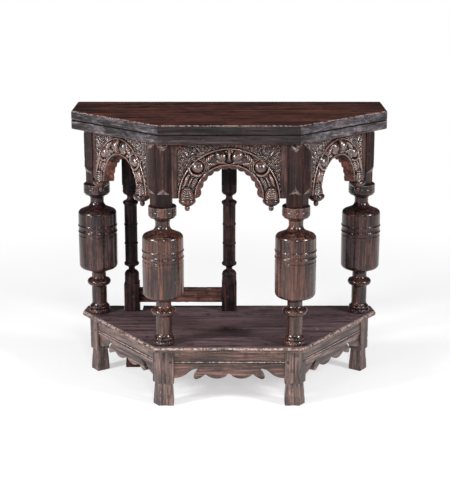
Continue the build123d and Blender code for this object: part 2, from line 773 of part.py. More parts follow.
def leaf_pieces(name, heights, upper, cutters):
    """A leaf's boards and dowels, its half of both hinges, and the nails of those."""
    pieces = {}
    boards, dowels = leaf(*heights, upper)
    for where, board in zip(("front", "middle", "back"), boards):
        pieces[f"{name}_leaf_board_{where}"] = without(board, cutters)
    pieces[f"{name}_leaf_dowels"] = group(dowels)
    nails = []
    for side, centre in zip(("left", "right"), HINGE_X):
        pieces[f"hinge_{name}_plate_{side}"] = hinge_plate(centre, upper)
        nails += hinge_nails(centre, upper)
    pieces[f"hinge_{name}_nails"] = group(nails)
    return pieces


def top_pieces(pegs):
    """Both leaves with their hinges, and the pegs that hold the lower one to the legs."""
    half = HINGE_LENGTH / 2
    pins = [knuckle(centre - half, centre + half, HINGE_PIN_RADIUS) for centre in HINGE_X]
    pieces = {"hinge_pins": group(pins), "top_pegs": group(pegs)}
    pieces |= leaf_pieces("upper", (HINGE_Z + LEAF_GAP / 2, TABLE_HEIGHT), True, [])
    pieces |= leaf_pieces("lower", (TOP_UNDERSIDE, HINGE_Z - LEAF_GAP / 2), False, pegs)
    return pieces


def arcade_pieces():
    """The three arcades and their pendants."""
    pieces = {}
    for side, (place, span) in SIDES.items():
        pieces[f"arcade_{side}"] = place * arcade(span)
        for end, x in (("a", -PENDANT_X), ("b", PENDANT_X)):
            pieces[f"pendant_{side}_{end}"] = place * Pos(x, PENDANT_Y) * pendant()
    return pieces


def frame_pieces(pegs_top, pegs_shelf):
    """The legs, foot posts, rails and aprons, each cut away where another is let into it."""
    blanks = [place * arcade_blank(span) for place, span in SIDES.values()]
    rails = {side: place * base_rail(span) for side, (place, span) in SIDES.items()}
    pegs = rail_pegs()
    pieces = {"rail_pegs": group(pegs)}
    for name, (plan, axis) in LEGS.items():
        pieces[f"leg_{name}"] = without(leg(plan, axis), blanks + pegs_top)
        pieces[f"foot_post_{name}"] = without(foot_post(plan, axis), [*rails.values(), *pegs])
    for side, (place, span) in SIDES.items():
        pieces[f"rail_{side}"] = without(rails[side], pegs + pegs_shelf)
        pieces[f"apron_{side}"] = place * apron(span)
    posts = [prism(plan, RAIL_BOTTOM, SHELF_UNDERSIDE) for plan, _ in LEGS.values()]
    blocks = [prism(plan, FRIEZE_BOTTOM, TOP_UNDERSIDE) for plan, _ in LEGS.values()]
    pieces["rail_rear"] = inner_part(without(rear_rail(), [*posts, lower_pintle_hole()]))
    pieces["frieze_rail_rear"] = inner_part(without(frieze_rail(), blocks + blanks))
    pieces["lower_pivot_block"], pieces["upper_pivot_block"] = pivot_blocks()
    return pieces


def shelf_pieces(pegs):
    """The shelf's three boards, its dowels and the pegs that hold it to the rails."""
    pieces = {"shelf_pegs": group(pegs), "shelf_dowels": group(shelf_dowels(SHELF_DOWEL_RADIUS))}
    slab = without(shelf_slab(), shelf_dowels(SHELF_DOWEL_RADIUS + FIT) + pegs)
    for where, board in zip(("front", "middle", "back"), boards_of(slab, SHELF_BOARD_JOINTS)):
        pieces[f"shelf_board_{where}"] = board
    return pieces


def gate_pieces():
    """The gate's post, leg, two rails and four pegs."""
    rails = {"lower": gate_rail(GATE_LOWER_RAIL), "upper": gate_rail(GATE_UPPER_RAIL)}
    pegs = gate_pegs()
    cutters = [*rails.values(), *pegs]
    pieces = {
        "gate_pivot_post": without(pivot_post(), cutters),
        "gate_leg": without(gate_leg(), cutters),
        "gate_pegs": group(pegs),
    }
    for where, rail in rails.items():
        pieces[f"gate_{where}_rail"] = without(rail, pegs)
    return pieces


def build():
    """Every piece by name."""
    pegs_top = top_pegs()
    pegs_shelf = shelf_pegs()
    pieces = top_pieces(pegs_top)
    pieces |= frame_pieces(pegs_top, pegs_shelf)
    pieces |= arcade_pieces()
    pieces |= jewels()
    pieces |= shelf_pieces(pegs_shelf)
    pieces |= gate_pieces()
    return pieces


def inner_part(solid):
    """The largest solid, which leaves out the slivers outside the blocks."""
    return solid.solids().sort_by(SortBy.VOLUME)[-1]


def main():
    os.makedirs("parts", exist_ok=True)
    for name, piece in build().items():
        export_step(Pos(0, -CENTRE_Y, 0) * piece, f"parts/{name}.step")


main()
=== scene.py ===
"""Looks of the folding-top oak communion table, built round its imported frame.

Metres, +Z up, -Y is the front. Carving and turning are worked out in millimetres and scaled by MM.
"""

import json
import math

import bmesh
import bpy
import numpy as np
from mathutils import Matrix, Vector, noise

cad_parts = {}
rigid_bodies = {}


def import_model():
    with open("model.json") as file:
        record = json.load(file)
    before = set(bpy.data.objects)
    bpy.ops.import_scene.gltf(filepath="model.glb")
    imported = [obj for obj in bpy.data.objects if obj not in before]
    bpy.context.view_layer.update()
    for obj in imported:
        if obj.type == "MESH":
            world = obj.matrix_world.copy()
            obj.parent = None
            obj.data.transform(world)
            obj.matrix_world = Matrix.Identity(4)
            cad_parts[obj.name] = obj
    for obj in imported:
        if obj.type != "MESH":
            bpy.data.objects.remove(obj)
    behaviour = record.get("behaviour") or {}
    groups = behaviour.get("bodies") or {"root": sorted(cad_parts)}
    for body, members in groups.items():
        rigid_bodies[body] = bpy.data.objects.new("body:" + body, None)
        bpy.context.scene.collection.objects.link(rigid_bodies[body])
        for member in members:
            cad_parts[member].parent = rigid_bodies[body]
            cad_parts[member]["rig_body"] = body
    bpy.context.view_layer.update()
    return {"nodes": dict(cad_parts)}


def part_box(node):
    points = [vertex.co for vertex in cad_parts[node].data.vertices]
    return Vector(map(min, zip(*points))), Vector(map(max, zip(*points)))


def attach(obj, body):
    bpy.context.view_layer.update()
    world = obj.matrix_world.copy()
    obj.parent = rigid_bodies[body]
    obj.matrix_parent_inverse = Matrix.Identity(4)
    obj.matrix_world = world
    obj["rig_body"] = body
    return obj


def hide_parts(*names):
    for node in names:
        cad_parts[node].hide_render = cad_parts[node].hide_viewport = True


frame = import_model()
MM = 0.001

# Places and heights in millimetres, from the frame
BLOCK_BOTTOM = 612.5
SHELF_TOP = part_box("shelf_board_front")[1].z / MM
TOP_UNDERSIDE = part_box("arcade_front")[1].z / MM
ARCH_CENTRE_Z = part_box("arcade_front")[0].z / MM
LEAF_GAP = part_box("lower_leaf_board_front")[1].z / MM
CANT_ANGLE = math.radians(55.0)
SIDE_TURNS = {"front": 0.0, "right": CANT_ANGLE, "left": -CANT_ANGLE}
LEG_PLACES = ("front_left", "front_right", "outer_left", "outer_right")
BOARDS = ("front", "middle", "back")

ACROSS = (1, 0, 0)
INWARD = (0, 1, 0)
UP = (0, 0, 1)


# Materials

GRAIN_STRETCH = {"X": (0.045, 1.0, 1.0), "Z": (1.0, 1.0, 0.05)}
SPECK_STRETCH = {"X": (0.35, 1.0, 1.0), "Z": (1.0, 1.0, 0.35)}
PLAIN_STRETCH = (1.0, 1.0, 1.0)
NO_SHIFT = (0.0, 0.0, 0.0)

# Noise as scale, detail, roughness and distortion
FIGURE_NOISE = (52.0, 5.0, 0.62, 1.2)
FIBRE_NOISE = (210.0, 6.0, 0.72)
HAMMER_NOISE = (120.0, 3.0, 0.5)
# Patterns as noise and the two levels of it that become 0 and 1
PORES = ((620.0, 2.0, 0.5), (0.62, 0.74))
WARM_PATCHES = ((11.0, 3.0, 0.5), (0.46, 0.62))
GRIME = ((46.0, 6.0, 0.65), (0.5, 0.66))
BREAKS = ((120.0, 5.0, 0.7), (0.42, 0.6))
SPECKS = ((260.0, 3.0, 0.6), (0.66, 0.74))
RUST = ((60.0, 6.0, 0.7), (0.5, 0.7))

FIGURE_STOPS = (0.40, 0.5, 0.60)
FIBRE_SHADES = [(0.38, (0.34, 0.34, 0.34)), (0.5, (0.9, 0.9, 0.9)), (0.62, (1.9, 1.85, 1.8))]
WARMING = 0.45
GRIME_DEPTH = 0.6
PORE_DEPTH = 0.8
# Faces marked below 0 darken: old wax in the board joints, painted shade in the gap where the leaves meet
# and in the rails' grooves
WAX_AND_SHADE_DEPTH = 0.92
WAX_AND_SHADE_LEVELS = (-0.1, -0.8)

# Pointiness is about 0.5 on level ground, less in a hollow and more on a crest
# Hollows get painted shade; crests are worn pale
HOLLOW_LEVELS = (0.49, 0.43)
HOLLOW_SHADE_DEPTH = 0.85
CREST_LEVELS = (0.515, 0.57)
# The attribute "rise" is 0.5 on level ground
# The carving's low places get painted shade, and its crests a colour for their wear and a painted sheen
SUNK_LEVELS = (0.12, 0.52)
SUNK_SHADE_DEPTH = 0.92
RAISED_LEVELS = (0.55, 0.95)
CREST_WEAR_AND_SHEEN_SHARE = 0.75
# Painted shade in hollows, found by ambient occlusion
OPEN_LEVELS = (0.12, 0.55)
RECESS_SHADE_DEPTH = 0.85
RECESS_SAMPLES = 6

FIBRE_SPAN = (0.3, 0.75)
SMOOTHER = 0.06
ROUGHER = 0.16
FIBRE_HEIGHT = 0.6
PORE_HEIGHT = 0.5
# Bumps as strength and distance in metres
OAK_BUMP = (0.3, 0.0012)
COAT_ROUGHNESS = 0.09

IRON_BLACK = (0.03, 0.028, 0.027)
RUST_BROWN = (0.075, 0.032, 0.018)
IRON_ROUGHNESS = (0.42, 0.75)
IRON_BUMP = (0.4, 0.001)
IRON_METALLIC = 0.85

# CREVICE is the near-black of pores and wax-filled joints, and also of the painted shade in hollows, gaps
# and grooves
CREVICE = (0.005, 0.003, 0.0028)
DARK = (0.010, 0.0048, 0.0050)
EDGE_DARK = (0.012, 0.010, 0.011)
GREY_DARK = (0.024, 0.014, 0.0135)
# The pale of worn arrises, which on slanted faces is also a painted sheen
WORN_AND_SHEEN = (0.34, 0.265, 0.245)
GREY_WORN = (0.46, 0.37, 0.34)

# Each oak finish in the words of oak(); one named after a side is for that side only
# The carving gets painted shade in its hollows, sought a few millimetres round each point
CARVED = dict(
    dark=(0.010, 0.0050, 0.0050), mid=(0.044, 0.0208, 0.0185), warm=(0.120, 0.053, 0.039),
    rough=0.25, wear=0.9, coat=0.5, points=1.0, shade_reach=0.006,
)
DEEP = dict(dark=(0.004, 0.0025, 0.0032), mid=(0.014, 0.0072, 0.0086), warm=(0.044, 0.019, 0.017), grain="Z")
FINISHES = {
    "top": dict(
        dark=(0.008, 0.0034, 0.0032), mid=(0.037, 0.0112, 0.0088), warm=(0.128, 0.040, 0.026),
        rough=0.42, wear=0.9, specks=0.2, gloss=0.22, coat=0.0, fibres=0.85,
    ),
    "top_edge": dict(
        dark=EDGE_DARK, mid=(0.015, 0.0108, 0.0108), warm=(0.038, 0.026, 0.025),
        rough=0.36, wear=0.95, specks=0.3, gloss=0.2, coat=0.0,
    ),
    # Painted sheen: the leaves' canted edges are a paler grey than their front edges, for the side light
    # they reflect
    "cant_with_sheen": dict(
        dark=EDGE_DARK, mid=(0.046, 0.038, 0.043), warm=(0.110, 0.092, 0.102),
        rough=0.36, wear=0.9, specks=0.35, gloss=0.3, coat=0.0,
    ),
    "shelf": dict(
        dark=(0.050, 0.031, 0.034), mid=(0.112, 0.072, 0.080), warm=(0.165, 0.104, 0.108),
        rough=0.34, wear=0.95, specks=0.15, gloss=0.3, coat=0.05, fibres=0.5,
    ),
    "shelf_edge": dict(
        dark=DARK, mid=(0.085, 0.046, 0.038), warm=(0.20, 0.105, 0.078), worn=GREY_WORN,
        rough=0.34, wear=0.9, specks=0.5, gloss=0.4, coat=0.1,
    ),
    # Painted light: the canted sides' carving has a paler crest colour and more pale specks than the
    # front's, for the stronger light on the sides
    "carved": dict(CARVED, specks=0.4, gloss=0.95, crest_wear_and_sheen=(0.25, 0.135, 0.105)),
    "carved_front": dict(CARVED, specks=0.15, gloss=0.7, crest_wear_and_sheen=(0.185, 0.090, 0.062)),
    "under": dict(
        dark=DARK, mid=(0.060, 0.023, 0.018), warm=(0.150, 0.052, 0.036),
        rough=0.45, wear=0.5, specks=0.1, gloss=0.2, coat=0.0, points=0.4,
    ),
    # Painted sheen: the canted rails and aprons are a paler grey than the front's, for the light the canted
    # sides reflect
    "rail": dict(
        dark=GREY_DARK, mid=(0.100, 0.064, 0.060), warm=(0.190, 0.118, 0.100), worn=GREY_WORN,
        rough=0.38, wear=0.75, specks=0.4,
    ),
    "rail_front": dict(
        dark=GREY_DARK, mid=(0.080, 0.041, 0.034), warm=(0.170, 0.088, 0.067), worn=GREY_WORN,
        rough=0.38, wear=0.75, specks=0.4,
    ),
    "turned": dict(
        dark=DARK, mid=(0.032, 0.0130, 0.0105), warm=(0.094, 0.036, 0.024), grain="Z",
        rough=0.24, wear=0.7, specks=0.4, gloss=0.34, coat=0.4, points=1.0,
    ),
    # Painted shade: the outer legs' turning is a darker copy of the front legs', for the less light that
    # falls on them
    "turned_outer_shaded": dict(
        dark=DARK, mid=(0.021, 0.0090, 0.0088), warm=(0.062, 0.025, 0.020), grain="Z",
        rough=0.24, wear=0.7, specks=0.35, gloss=0.28, coat=0.3, points=1.0,
    ),
    "block": dict(
        dark=DARK, mid=(0.0105, 0.0042, 0.0040), warm=(0.033, 0.0125, 0.0100), grain="Z",
        rough=0.36, wear=0.75, specks=0.2, gloss=0.2, coat=0.0,
    ),
    "stile": dict(
        dark=DARK, mid=(0.032, 0.0150, 0.0140), warm=(0.090, 0.042, 0.034), grain="Z",
        rough=0.34, wear=0.75, specks=0.2, gloss=0.3, coat=0.05,
    ),
    "foot": dict(
        dark=GREY_DARK, mid=(0.074, 0.045, 0.041), warm=(0.142, 0.088, 0.072), worn=GREY_WORN, grain="Z",
        rough=0.42, wear=0.8, specks=0.5,
    ),
    "gate": dict(DEEP, rough=0.5, specks=0.08, gloss=0.12, coat=0.0),
    "gate_rail": dict(
        dark=DARK, mid=(0.050, 0.024, 0.021), warm=(0.110, 0.050, 0.038),
        rough=0.5, specks=0.08, gloss=0.12, coat=0.0,
    ),
    "peg": dict(DEEP, rough=0.45),
}
# How far the figure shifts from one board of a leaf or of the shelf to the next, and where it starts
BOARD_SHIFTS = {"top": (0.37, 0.0), "shelf": (0.53, 2.0)}


class Graph:
    """The nodes of one material, added and joined by name."""

    def __init__(self, name):
        self.material = bpy.data.materials.new(name)
        self.material.use_nodes = True
        self.tree = self.material.node_tree
        self.tree.nodes.clear()

    def add(self, kind, settings=None, **inputs):
        node = self.tree.nodes.new("ShaderNode" + kind)
        for key, value in (settings or {}).items():
            setattr(node, key, value)
        for key, value in inputs.items():
            self.put(node.inputs[key.replace("_", " ")], value)
        return node

    def put(self, socket, value):
        if isinstance(value, bpy.types.NodeSocket):
            self.tree.links.new(value, socket)
        else:
            socket.default_value = value

    def noise(self, place, scale, detail=4.0, roughness=0.55, distortion=0.0):
        node = self.add("TexNoise", Vector=place, Scale=scale, Detail=detail, Roughness=roughness,
                        Distortion=distortion)
        return node.outputs["Fac"]

    def ramp(self, value, stops):
        node = self.add("ValToRGB", Fac=value)
        elements = node.color_ramp.elements
        while len(elements) < len(stops):
            elements.new(0.5)
        for element, (position, colour) in zip(elements, stops):
            element.position = position
            element.color = (*colour, 1.0)
        return node.outputs["Color"]

    def levels(self, value, low, high):
        """The value with low and high brought to 0 and 1."""
        node = self.add("MapRange", {"interpolation_type": "SMOOTHSTEP"}, Value=value,
                        From_Min=low, From_Max=high)
        return node.outputs["Result"]

    def spots(self, place, pattern):
        """One of the patterns above, as a mask."""
        grain, levels = pattern
        return self.levels(self.noise(place, *grain), *levels)

    def math(self, operation, first, second):
        node = self.add("Math", {"operation": operation, "use_clamp": True})
        self.put(node.inputs[0], first)
        self.put(node.inputs[1], second)
        return node.outputs["Value"]

    def mix(self, share, first, second, blend="MIX"):
        node = self.add("Mix", {"data_type": "RGBA", "blend_type": blend})
        self.put(node.inputs["Factor"], share)
        for socket, value in ((node.inputs[6], first), (node.inputs[7], second)):
            value = (*value, 1.0) if isinstance(value, tuple) else value
            self.put(socket, value)
        return node.outputs[2]

    def cover(self, mask, amount, under, over):
        """One colour over another where the mask is 1, as thickly as the amount says."""
        return self.mix(self.math("MULTIPLY", mask, amount), under, over)

    def place(self, turn, stretch, shift):
        """Object coordinates turned about Z, so that X or Z follows the grain, then stretched."""
        coordinates = self.add("TexCoord").outputs["Object"]
        turned = self.add("Mapping", Vector=coordinates, Rotation=(0, 0, -turn), Location=shift)
        return self.add("Mapping", Vector=turned.outputs["Vector"], Scale=stretch).outputs["Vector"]

    def attribute(self, name):
        return self.add("Attribute", {"attribute_name": name}).outputs["Fac"]

    def shader(self, colour, roughness, height, bump):
        """A principled shader whose surface the height presses up and down."""
        strength, distance = bump
        normal = self.add("Bump", Height=height, Strength=strength, Distance=distance).outputs["Normal"]
        return self.add("BsdfPrincipled", Base_Color=colour, Roughness=roughness, Normal=normal)

    def finished(self, surface):
        """The material, with the surface as its output."""
        output = self.add("OutputMaterial")
        self.tree.links.new(surface, output.inputs["Surface"])
        return self.material


def oak(name, dark, mid, warm, worn=WORN_AND_SHEEN, grain="X", turn=0.0, shift=0.0, rough=0.34, wear=0.6, specks=0.3,
        gloss=0.42, coat=0.15, fibres=1.0, points=0.0, shade_reach=0.0, crest_wear_and_sheen=None):
    """Old waxed oak, its grain along Z or along X turned about Z.

    The figure goes from dark to mid to warm, and rubbed arrises show worn. points brings out the crests
    of turned and carved parts and paints shade into their hollows, shade_reach is how far, in metres, the
    painted shade of hollows is sought, and crest_wear_and_sheen is the colour of carved crests: their
    wear and a painted sheen."""
    g = Graph(name)
    offset = (shift, shift, shift)
    along = g.place(turn, GRAIN_STRETCH[grain], offset)
    plain = g.place(turn, PLAIN_STRETCH, offset)
    speckled = g.place(turn, SPECK_STRETCH[grain], offset)
    fibre = g.noise(along, *FIBRE_NOISE)
    pores = g.spots(along, PORES)
    colour = g.ramp(g.noise(along, *FIGURE_NOISE), list(zip(FIGURE_STOPS, (dark, mid, warm))))
    colour = g.mix(g.spots(plain, WARM_PATCHES), colour, g.mix(WARMING, colour, warm))
    colour = g.mix(fibres, colour, g.ramp(fibre, FIBRE_SHADES), "MULTIPLY")
    colour = g.cover(g.spots(plain, GRIME), GRIME_DEPTH, colour, dark)
    colour = g.cover(pores, PORE_DEPTH, colour, CREVICE)
    wear_and_painted_light = g.attribute("wear_and_painted_light")
    arris = g.levels(wear_and_painted_light, 0.0, 1.0)
    if points:
        point = g.add("NewGeometry").outputs["Pointiness"]
        # Painted shade in hollows
        colour = g.cover(g.levels(point, *HOLLOW_LEVELS), HOLLOW_SHADE_DEPTH, colour, CREVICE)
        crests = g.math("MULTIPLY", g.levels(point, *CREST_LEVELS), points)
        arris = g.math("MAXIMUM", crests, arris)
    if crest_wear_and_sheen:
        rise = g.attribute("rise")
        # Painted shade in the carving's low places, then wear and painted sheen on its crests
        colour = g.mix(g.levels(rise, *SUNK_LEVELS), g.mix(SUNK_SHADE_DEPTH, colour, CREVICE), colour)
        colour = g.cover(g.levels(rise, *RAISED_LEVELS), CREST_WEAR_AND_SHEEN_SHARE, colour, crest_wear_and_sheen)
    rubbed = g.math("MULTIPLY", arris, g.spots(plain, BREAKS))
    colour = g.cover(rubbed, wear, colour, worn)
    colour = g.cover(g.spots(speckled, SPECKS), specks, colour, worn)
    colour = g.cover(g.levels(wear_and_painted_light, *WAX_AND_SHADE_LEVELS), WAX_AND_SHADE_DEPTH, colour, CREVICE)
    # Painted shade in hollows, found by ambient occlusion
    if shade_reach:
        shade = g.add("AmbientOcclusion", {"only_local": True, "samples": RECESS_SAMPLES}, Distance=shade_reach)
        opened = g.levels(shade.outputs["AO"], *OPEN_LEVELS)
        colour = g.mix(opened, g.mix(RECESS_SHADE_DEPTH, colour, CREVICE), colour)
    low, high = FIBRE_SPAN
    roughness = g.add("MapRange", Value=fibre, From_Min=low, From_Max=high, To_Min=rough - SMOOTHER,
                      To_Max=rough + ROUGHER).outputs["Result"]
    grooves = g.math("MULTIPLY", pores, PORE_HEIGHT)
    height = g.math("SUBTRACT", g.math("MULTIPLY", fibre, FIBRE_HEIGHT), grooves)
    shader = g.shader(colour, roughness, height, OAK_BUMP)
    shader.inputs["Specular IOR Level"].default_value = gloss
    shader.inputs["Coat Weight"].default_value = coat
    shader.inputs["Coat Roughness"].default_value = COAT_ROUGHNESS
    return g.finished(shader.outputs["BSDF"])


def iron(name):
    """Blackened wrought iron with hammer marks and a little rust."""
    g = Graph(name)
    plain = g.place(0.0, PLAIN_STRETCH, NO_SHIFT)
    rust = g.spots(plain, RUST)
    colour = g.mix(rust, IRON_BLACK, RUST_BROWN)
    clean, rusty = IRON_ROUGHNESS
    roughness = g.add("MapRange", Value=rust, To_Min=clean, To_Max=rusty).outputs["Result"]
    shader = g.shader(colour, roughness, g.noise(plain, *HAMMER_NOISE), IRON_BUMP)
    shader.inputs["Metallic"].default_value = IRON_METALLIC
    return g.finished(shader.outputs["BSDF"])


def make_materials():
    """Every finish by name; each side and each board has its own, so that its grain is its own. The canted
    sides' carving and rails are also painted paler than the front's, as painted light.
    """
    made = {"iron": iron("iron")}

    def add(name, kind, **more):
        made[name] = oak(f"oak_{name}", **FINISHES[kind], **more)

    for kind, (step, start) in BOARD_SHIFTS.items():
        for number, board in enumerate(BOARDS):
            add(f"{kind}_{board}", kind, shift=step * number + start)
    for side, turn in SIDE_TURNS.items():
        for kind in ("carved", "under", "rail"):
            name = f"{kind}_{side}"
            add(name, name if name in FINISHES else kind, turn=turn)
    for side in ("left", "right"):
        add(f"cant_{side}", "cant_with_sheen", turn=SIDE_TURNS[side])
    for kind in ("top_edge", "shelf_edge", "turned", "turned_outer_shaded", "block", "stile", "foot", "gate",
                 "gate_rail", "peg"):
        add(kind, kind)
    return made


def finish_of(node):
    """The name of the finish that a CAD node or its worn copy gets."""
    if node.startswith("hinge"):
        return "iron"
    if "leaf_board" in node:
        return "top_" + node.rsplit("_", 1)[1]
    if node.startswith("shelf_board"):
        return "shelf_" + node.rsplit("_", 1)[1]
    if node.startswith("arcade"):
        return "carved_" + node.split("_")[1]
    if node.startswith(("rail_front", "rail_left", "rail_right", "apron")):
        return "rail_" + node.split("_")[1]
    if node.startswith(("leg", "pendant")):
        return "turned"
    if node.startswith("jewel"):
        return "block"
    if node.startswith("foot_post"):
        return "foot"
    if "peg" in node or "dowel" in node:
        return "peg"
    if node.endswith("rail") or "rail_rear" in node:
        return "gate_rail"
    return "gate"


def body_of(node):
    return frame["nodes"][node]["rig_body"]


# Mesh helpers, with lengths in millimetres

WELD_DISTANCE = 1e-6
FLAT_ANGLE = math.radians(0.5)
SHADING_ANGLE = 32.0
SHARP_ANGLE = math.radians(40)
SHORTEST_EDGE = 3.0
LEAF_GAP_REACH = 1.0
JOINT_REACH = 0.1
LEAF_GAP_ROUNDING = 2.3
JOINT_ROUNDING = 0.35
ROUNDING_STEPS = 3
RUBBED_DEPTH = 9.0
SLANT = (0.2, 0.95)

# The face attribute "wear_and_painted_light": above 0, how pale a face is painted, as rubbed wear and as a
# painted sheen; below 0, old wax in a joint, or painted shade in a gap or groove
RUBBED = 1.0
# Slanted faces near a part's top are painted pale: wear, and on the jewels' hips a painted highlight and
# reflection
SLANT_WEAR_AND_SHEEN = 0.8
RUBBED_FAINTLY = 0.3
# Old wax in the board joints, and painted shade where the two leaves meet and in the rails' grooves
WAX_AND_SHADE = -1.0

DENT_SIZE = 55
CHIP_SIZE = 16.0
CHIPPED_ANGLE = math.radians(12)
FINE_CHIPS = (0.55, 2.7)
CHIP_THRESHOLD = 0.12

# Wear of each kind of part: rounding, dents, chips, and the seed of the first part and its step
WEAR = {
    "block": (1.0, 0.25, 1.4, 3, 5.1),
    "leaf": (1.1, 0.25, 1.1, 11, 9.7),
    "shelf": (1.8, 0.25, 1.8, 11, 9.7),
    "foot": (1.6, 0.5, 2.2, 50, 3.3),
    "rail": (0.7, 0.25, 1.2, 70, 4.1),
    "jewel": (0.9, 0.25, 1.0, 90, 2.9),
    "gate_rail": (1.0, 0.25, 1.4, 130, 6.1),
    "gate_post": (1.0, 0.12, 0.5, 150, 6.7),
}


def set_material(piece, material):
    piece.data.materials.clear()
    piece.data.materials.append(material)


def new_piece(name, bm, node, materials, sharp=SHADING_ANGLE):
    """A piece that stands for a CAD node: its mesh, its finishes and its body."""
    bmesh.ops.recalc_face_normals(bm, faces=bm.faces)
    mesh = bpy.data.meshes.new(name)
    bm.to_mesh(mesh)
    bm.free()
    mesh.shade_smooth()
    mesh.set_sharp_from_angle(angle=math.radians(sharp))
    piece = bpy.data.objects.new(name, mesh)
    bpy.context.scene.collection.objects.link(piece)
    for material in materials:
        mesh.materials.append(material)
    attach(piece, body_of(node))
    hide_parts(node)


def whole(bm):
    return [*bm.verts, *bm.edges, *bm.faces]


def cad_copy(node):
    """The CAD node's mesh with whole faces in place of its triangles."""
    bm = bmesh.new()
    bm.from_mesh(frame["nodes"][node].data)
    bmesh.ops.remove_doubles(bm, verts=bm.verts, dist=WELD_DISTANCE)
    bmesh.ops.dissolve_limit(bm, angle_limit=FLAT_ANGLE, verts=bm.verts, edges=bm.edges)
    return bm


def is_sharp(edge):
    long_enough = edge.calc_length() > SHORTEST_EDGE * MM
    return long_enough and edge.is_manifold and edge.calc_face_angle(0) > SHARP_ANGLE


def kind_of(edge, joints):
    """Whether an edge lies where the two leaves meet, where two boards meet, or is loose."""
    if all(abs(v.co.z - LEAF_GAP * MM) < LEAF_GAP_REACH * MM for v in edge.verts):
        return "meeting"
    if any(all(abs(v.co.y - y) < JOINT_REACH * MM for v in edge.verts) for y in joints):
        return "joint"
    return "loose"


def soften(bm, rounding, joints, rubbed_depth):
    """Rounds the sharp edges, and marks what rubbing wears pale near the part's top; slanted faces there are
    also painted pale as a painted sheen.

    Edges in the planes of the board joints, at the given places along Y, stay almost sharp and are marked as
    filled with old wax; the wider rounding where the two leaves meet is marked the same way, as painted
    shade in the gap between them."""
    wear_and_painted_light = bm.faces.layers.float.new("wear_and_painted_light")
    rubbed_above = max(v.co.z for v in bm.verts) - rubbed_depth * MM
    for face in bm.faces:
        # Slanted faces near the top are painted pale: wear, and on the jewels' hips a painted highlight and
        # reflection
        slanted = SLANT[0] < abs(face.normal.z) < SLANT[1]
        face[wear_and_painted_light] = SLANT_WEAR_AND_SHEEN if slanted and face.calc_center_median().z > rubbed_above else 0.0
    for kind, offset in (("meeting", LEAF_GAP_ROUNDING), ("joint", JOINT_ROUNDING), ("loose", rounding)):
        edges = [e for e in bm.edges if is_sharp(e) and kind_of(e, joints) == kind]
        if not edges:
            continue
        made = bmesh.ops.bevel(bm, geom=edges, offset=offset * MM, segments=ROUNDING_STEPS, profile=0.5,
                               affect="EDGES", clamp_overlap=True)
        for face in made["faces"]:
            level = all(abs(v.co.z - face.verts[0].co.z) < 2 * rounding * MM for v in face.verts)
            near_top = face.calc_center_median().z > rubbed_above
            worn = RUBBED if level and near_top else RUBBED_FAINTLY
            # Board joints get old wax; where the leaves meet, painted shade in the gap
            face[wear_and_painted_light] = worn if kind == "loose" else WAX_AND_SHADE


def slice_along(bm, direction, step):
    """Cuts the mesh by parallel planes, step millimetres apart."""
    direction = Vector(direction).normalized()
    reach = [v.co.dot(direction) for v in bm.verts]
    position = min(reach) + step * MM
    while position < max(reach) - step * MM / 3:
        bmesh.ops.bisect_plane(bm, geom=whole(bm), plane_co=direction * position, plane_no=direction)
        position += step * MM


def noise_share(place):
    """Smooth noise from about 0 to about 1."""
    return 0.5 + 0.5 * noise.noise(place)


def roughen(bm, seed, dents, chips):
    """Presses the surface in: shallow dents everywhere, and chips on the arrises."""
    bm.normal_update()
    moves = []
    share, finer = FINE_CHIPS
    for v in bm.verts:
        bend = max((e.calc_face_angle(0) for e in v.link_edges if e.is_manifold), default=0)
        depth = dents * noise_share(v.co / (DENT_SIZE * MM) + Vector((0, seed, 0)))
        if bend > CHIPPED_ANGLE:
            place = v.co / (CHIP_SIZE * MM) + Vector((seed, 0, 0))
            chip = noise.noise(place) + share * noise.noise(place * finer)
            depth += chips * max(0.0, chip - CHIP_THRESHOLD)
        moves.append((v, v.normal * (-depth * MM)))
    for v, move in moves:
        v.co += move


def worn_copy(node, kind, number, cuts, keep_above=None, joints=(), rubbed_depth=RUBBED_DEPTH):
    """A CAD node with rubbed arrises and dents, cut finely enough to hold them.

    cuts are directions and the millimetres between cuts; what lies below keep_above is cut away."""
    rounding, dents, chips, first_seed, seed_step = WEAR[kind]
    bm = cad_copy(node)
    if keep_above is not None:
        cut = bmesh.ops.bisect_plane(bm, geom=whole(bm), plane_co=(0, 0, keep_above * MM), plane_no=UP,
                                     clear_inner=True)
        rim = [e for e in cut["geom_cut"] if isinstance(e, bmesh.types.BMEdge)]
        bmesh.ops.holes_fill(bm, edges=rim)
    soften(bm, rounding, joints, rubbed_depth)
    for direction, step in cuts:
        slice_along(bm, direction, step)
    roughen(bm, number * seed_step + first_seed, dents, chips)
    return bm


# Turned legs, in millimetres

# Scribed lines as height and depth
RING_LINES = (
    (604.5, 1.0), (592.0, 0.9), (587.5, 0.8), (531.0, 1.6), (469.0, 1.0), (441.0, 0.9), (437.0, 0.7),
    (289.5, 1.0), (279.0, 0.7), (233.0, 0.8), (198.5, 0.9),
)
RING_LINE_WIDTH = 0.9
LEG_SEGMENTS = 128
LEG_STEP = 2.5
LEG_SEED_STEP = 7.3
HEIGHT_SLACK = 0.01
BLOCK_CUTS = ((UP, 7.0), (ACROSS, 9.0), (INWARD, 9.0))
BLOCK_OVERLAP = 0.5
BLOCK_CUT_GAP = 0.2
TENON_DEPTH = 1

# How far the turning is out of true and tooled, and the size of each as a factor of the noise
OUT_OF_TRUE = (0.3, 1.7)
TOOLED = (0.15, 7)
AROUND_LEG = 1.3
ALONG_LEG = 60
# Knocks from feet below this height: depth, size around and along, and the share that is left whole
BASE_TOP = 216.0
KNOCKS = 3.2
AROUND_KNOCK = 5
ALONG_KNOCK = 9
KNOCK_THRESHOLD = 0.08


